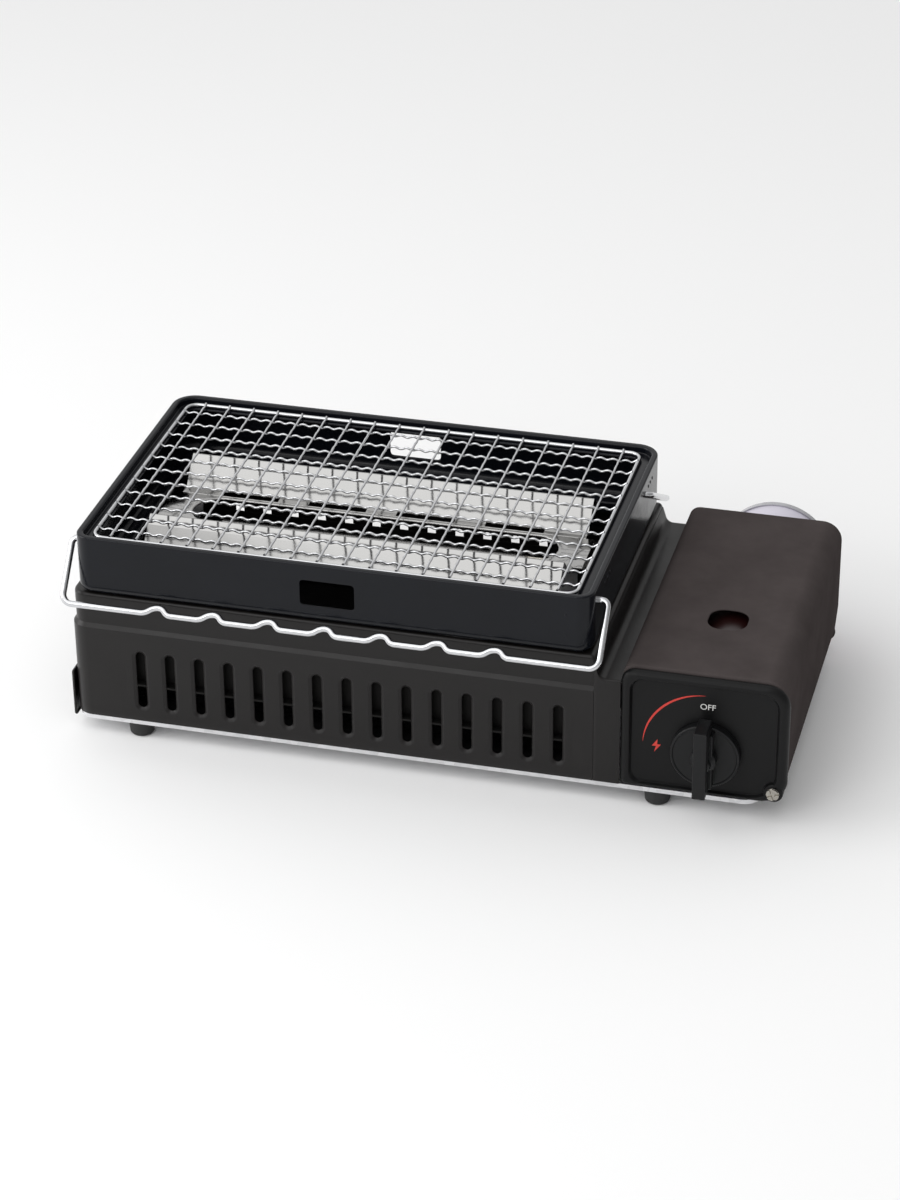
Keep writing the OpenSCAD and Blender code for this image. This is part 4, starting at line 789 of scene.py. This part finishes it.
def marks():
    """Printed arc, OFF word and spark sign on the panel, a hair above its face."""
    y = PANEL_FACE - 0.04
    band = Sheet()
    rows = []
    for i in range(ARC_STEPS + 1):
        t = i / ARC_STEPS
        half = 0.05 + 0.6 * math.sin(math.pi * t) ** 0.8
        a = math.radians(ARC_START + (ARC_END - ARC_START) * t)
        rows.append([(KNOB_X + r * math.cos(a), y, KNOB_Z + r * math.sin(a))
                     for r in (ARC_R - half, ARC_R + half)])
    band.grid(rows)
    bolt = [(0.6, 4.2), (-2.6, -0.4), (-0.3, -0.4), (-1.2, -4.2), (2.6, 0.9), (0.4, 0.9)]
    ids = band.add((SPARK_X + x, y, SPARK_Z + z) for x, z in bolt)
    band.faces += [[ids[0], ids[1], ids[2], ids[5]], [ids[2], ids[3], ids[4], ids[5]]]
    build("ignite_marks", band, "body", None, look=RED_INK)
    word = bpy.data.curves.new("off_mark", "FONT")
    word.body, word.size, word.align_x, word.align_y = "OFF", WORD_SIZE * MM, "CENTER", "CENTER"
    text = bpy.data.objects.new("off_mark_text", word)
    bpy.context.scene.collection.objects.link(text)
    bpy.context.view_layer.update()
    mesh = bpy.data.meshes.new_from_object(text.evaluated_get(bpy.context.evaluated_depsgraph_get()))
    bpy.data.objects.remove(text)
    mesh.transform(Matrix.Translation(at((WORD_X, y, WORD_Z))) @ Matrix.Rotation(math.radians(90), 4, "X"))
    obj = bpy.data.objects.new("off_mark", mesh)
    bpy.context.scene.collection.objects.link(obj)
    dress(obj, "body", WHITE_INK)


def tray_front():
    """Drip tray's front: a sheet with its edges folded back."""
    sheet = Sheet()
    section = fillet([(0.6, TRAY_BACK), (0, TRAY_X), (4.0, TRAY_X)], [0.9]) + [Vector((8.0, TRAY_X))]
    loops = []
    for inset, x in section:
        half = TRAY_Y - inset
        loop = round_loop(-half, TRAY_LOW + inset, half, TRAY_TOP - inset, [max(1.8 - inset, 0.4)] * 4, 6)
        loops.append([(x, y, z) for y, z in loop])
    sheet.bridge(loops, close_last=True)
    build("tray_front", sheet, "tray", "casing_paint", ["tray_facia"], thickness=0.9)


def feet():
    """Tapered feet, each hollow below for its screw; the section is (radius, height)."""
    shape = fillet([(2.0, 4.5), (2.7, 4.5), (2.7, 0.0), (7.2, 0.0), (7.8, 9.2), (6.8, 9.5), (6.8, 11.3),
                    (2.0, 11.3)], [0.2, 0.3, 1.8, 0.1, 0.1, 0.4])
    for end, x in FEET_X:
        for side, y in FEET_Y:
            sheet = Sheet()
            lathe(sheet, shape, "z", (x, y))
            build(f"rubber_foot_{side}_{end}", sheet, "body", "foot_rubber", [f"foot_{side}_{end}"])


def cad_looks():
    """Materials for the nodes that are shown as they are."""
    slots = {row["node"]: row["material_slot"] for row in frame["record"]["subparts"]}
    for name, obj in frame["nodes"].items():
        obj.data.materials.clear()
        obj.data.materials.append(LOOKS[slots[name]])


# Stage


def area_light(name, place, target, size, power):
    """Rectangular light that faces its target."""
    light = bpy.data.lights.new(name, "AREA")
    light.shape, light.size, light.size_y, light.energy = "RECTANGLE", size[0], size[1], power
    obj = bpy.data.objects.new(name, light)
    bpy.context.scene.collection.objects.link(obj)
    obj.location = place
    obj.rotation_euler = (Vector(target) - Vector(place)).to_track_quat("-Z", "Y").to_euler()


def stage():
    """Pale floor, soft sky that is brighter from the left, and the area lights."""
    mesh = bpy.data.meshes.new("floor")
    corners = [(x * FLOOR_HALF, y * FLOOR_HALF, 0) for x, y in ((-1, -1), (1, -1), (1, 1), (-1, 1))]
    mesh.from_pydata(corners, [], [(0, 1, 2, 3)])
    floor = bpy.data.objects.new("floor", mesh)
    bpy.context.scene.collection.objects.link(floor)
    mesh.materials.append(material("pale_floor", (0.93, 0.93, 0.93), 0.75, mottle=0.0, grain=0.0,
                                   spread=0.02, specular=0.1))
    world = bpy.data.worlds.new("studio")
    bpy.context.scene.world = world
    world.use_nodes = True
    tree = world.node_tree
    sky = tree.nodes["Background"]
    sky.inputs["Color"].default_value = (1.0, 1.0, 1.0, 1.0)
    direction = node(tree, "ShaderNodeTexCoord")
    split = node(tree, "ShaderNodeSeparateXYZ")
    fall = map_range(tree, -1.0, 1.0, SKY_LEFT, SKY_RIGHT)
    link(tree, direction.outputs["Generated"], split.inputs["Vector"])
    link(tree, split.outputs["X"], fall.inputs["Value"])
    link(tree, fall.outputs["Result"], sky.inputs["Strength"])
    for row in LIGHTS:
        area_light(*row)
    bpy.context.scene.view_settings.view_transform = "Standard"


def camera():
    """Camera at the photograph's viewing angle."""
    azimuth, elevation, roll = (math.radians(a) for a in (AZIMUTH, ELEVATION, ROLL))
    back = Vector((math.sin(azimuth) * math.cos(elevation), -math.cos(azimuth) * math.cos(elevation),
                   math.sin(elevation)))
    right = Vector((math.cos(azimuth), math.sin(azimuth), 0))
    up = back.cross(right)
    turned = (math.cos(roll) * right + math.sin(roll) * up,
              math.cos(roll) * up - math.sin(roll) * right, back)
    data = bpy.data.cameras.new("camera")
    data.sensor_width, data.lens = SENSOR, LENS
    data.shift_x, data.shift_y = SHIFT_X, SHIFT_Y
    obj = bpy.data.objects.new("camera", data)
    bpy.context.scene.collection.objects.link(obj)
    obj.matrix_world = Matrix.Translation(at(EYE)) @ Matrix(turned).transposed().to_4x4()
    bpy.context.scene.camera = obj


camera()
cad_looks()
casing()
deck()
top_frame()
net()
skewer_rest("front_rest_wire", -1, FRONT_REST_X, FRONT_REST_Y, FRONT_ARM, FRONT_TILT, "front_rest",
            ["front_skewer_rest"])
skewer_rest("rear_rest_wire", 1, REAR_REST_X, REAR_REST_Y, REAR_ARM, REAR_TILT, "rear_rest",
            ["rear_skewer_rest"])
radiant_plate()
panel()
lid()
knob()
hinge_screw()
marks()
tray_front()
feet()
stage()
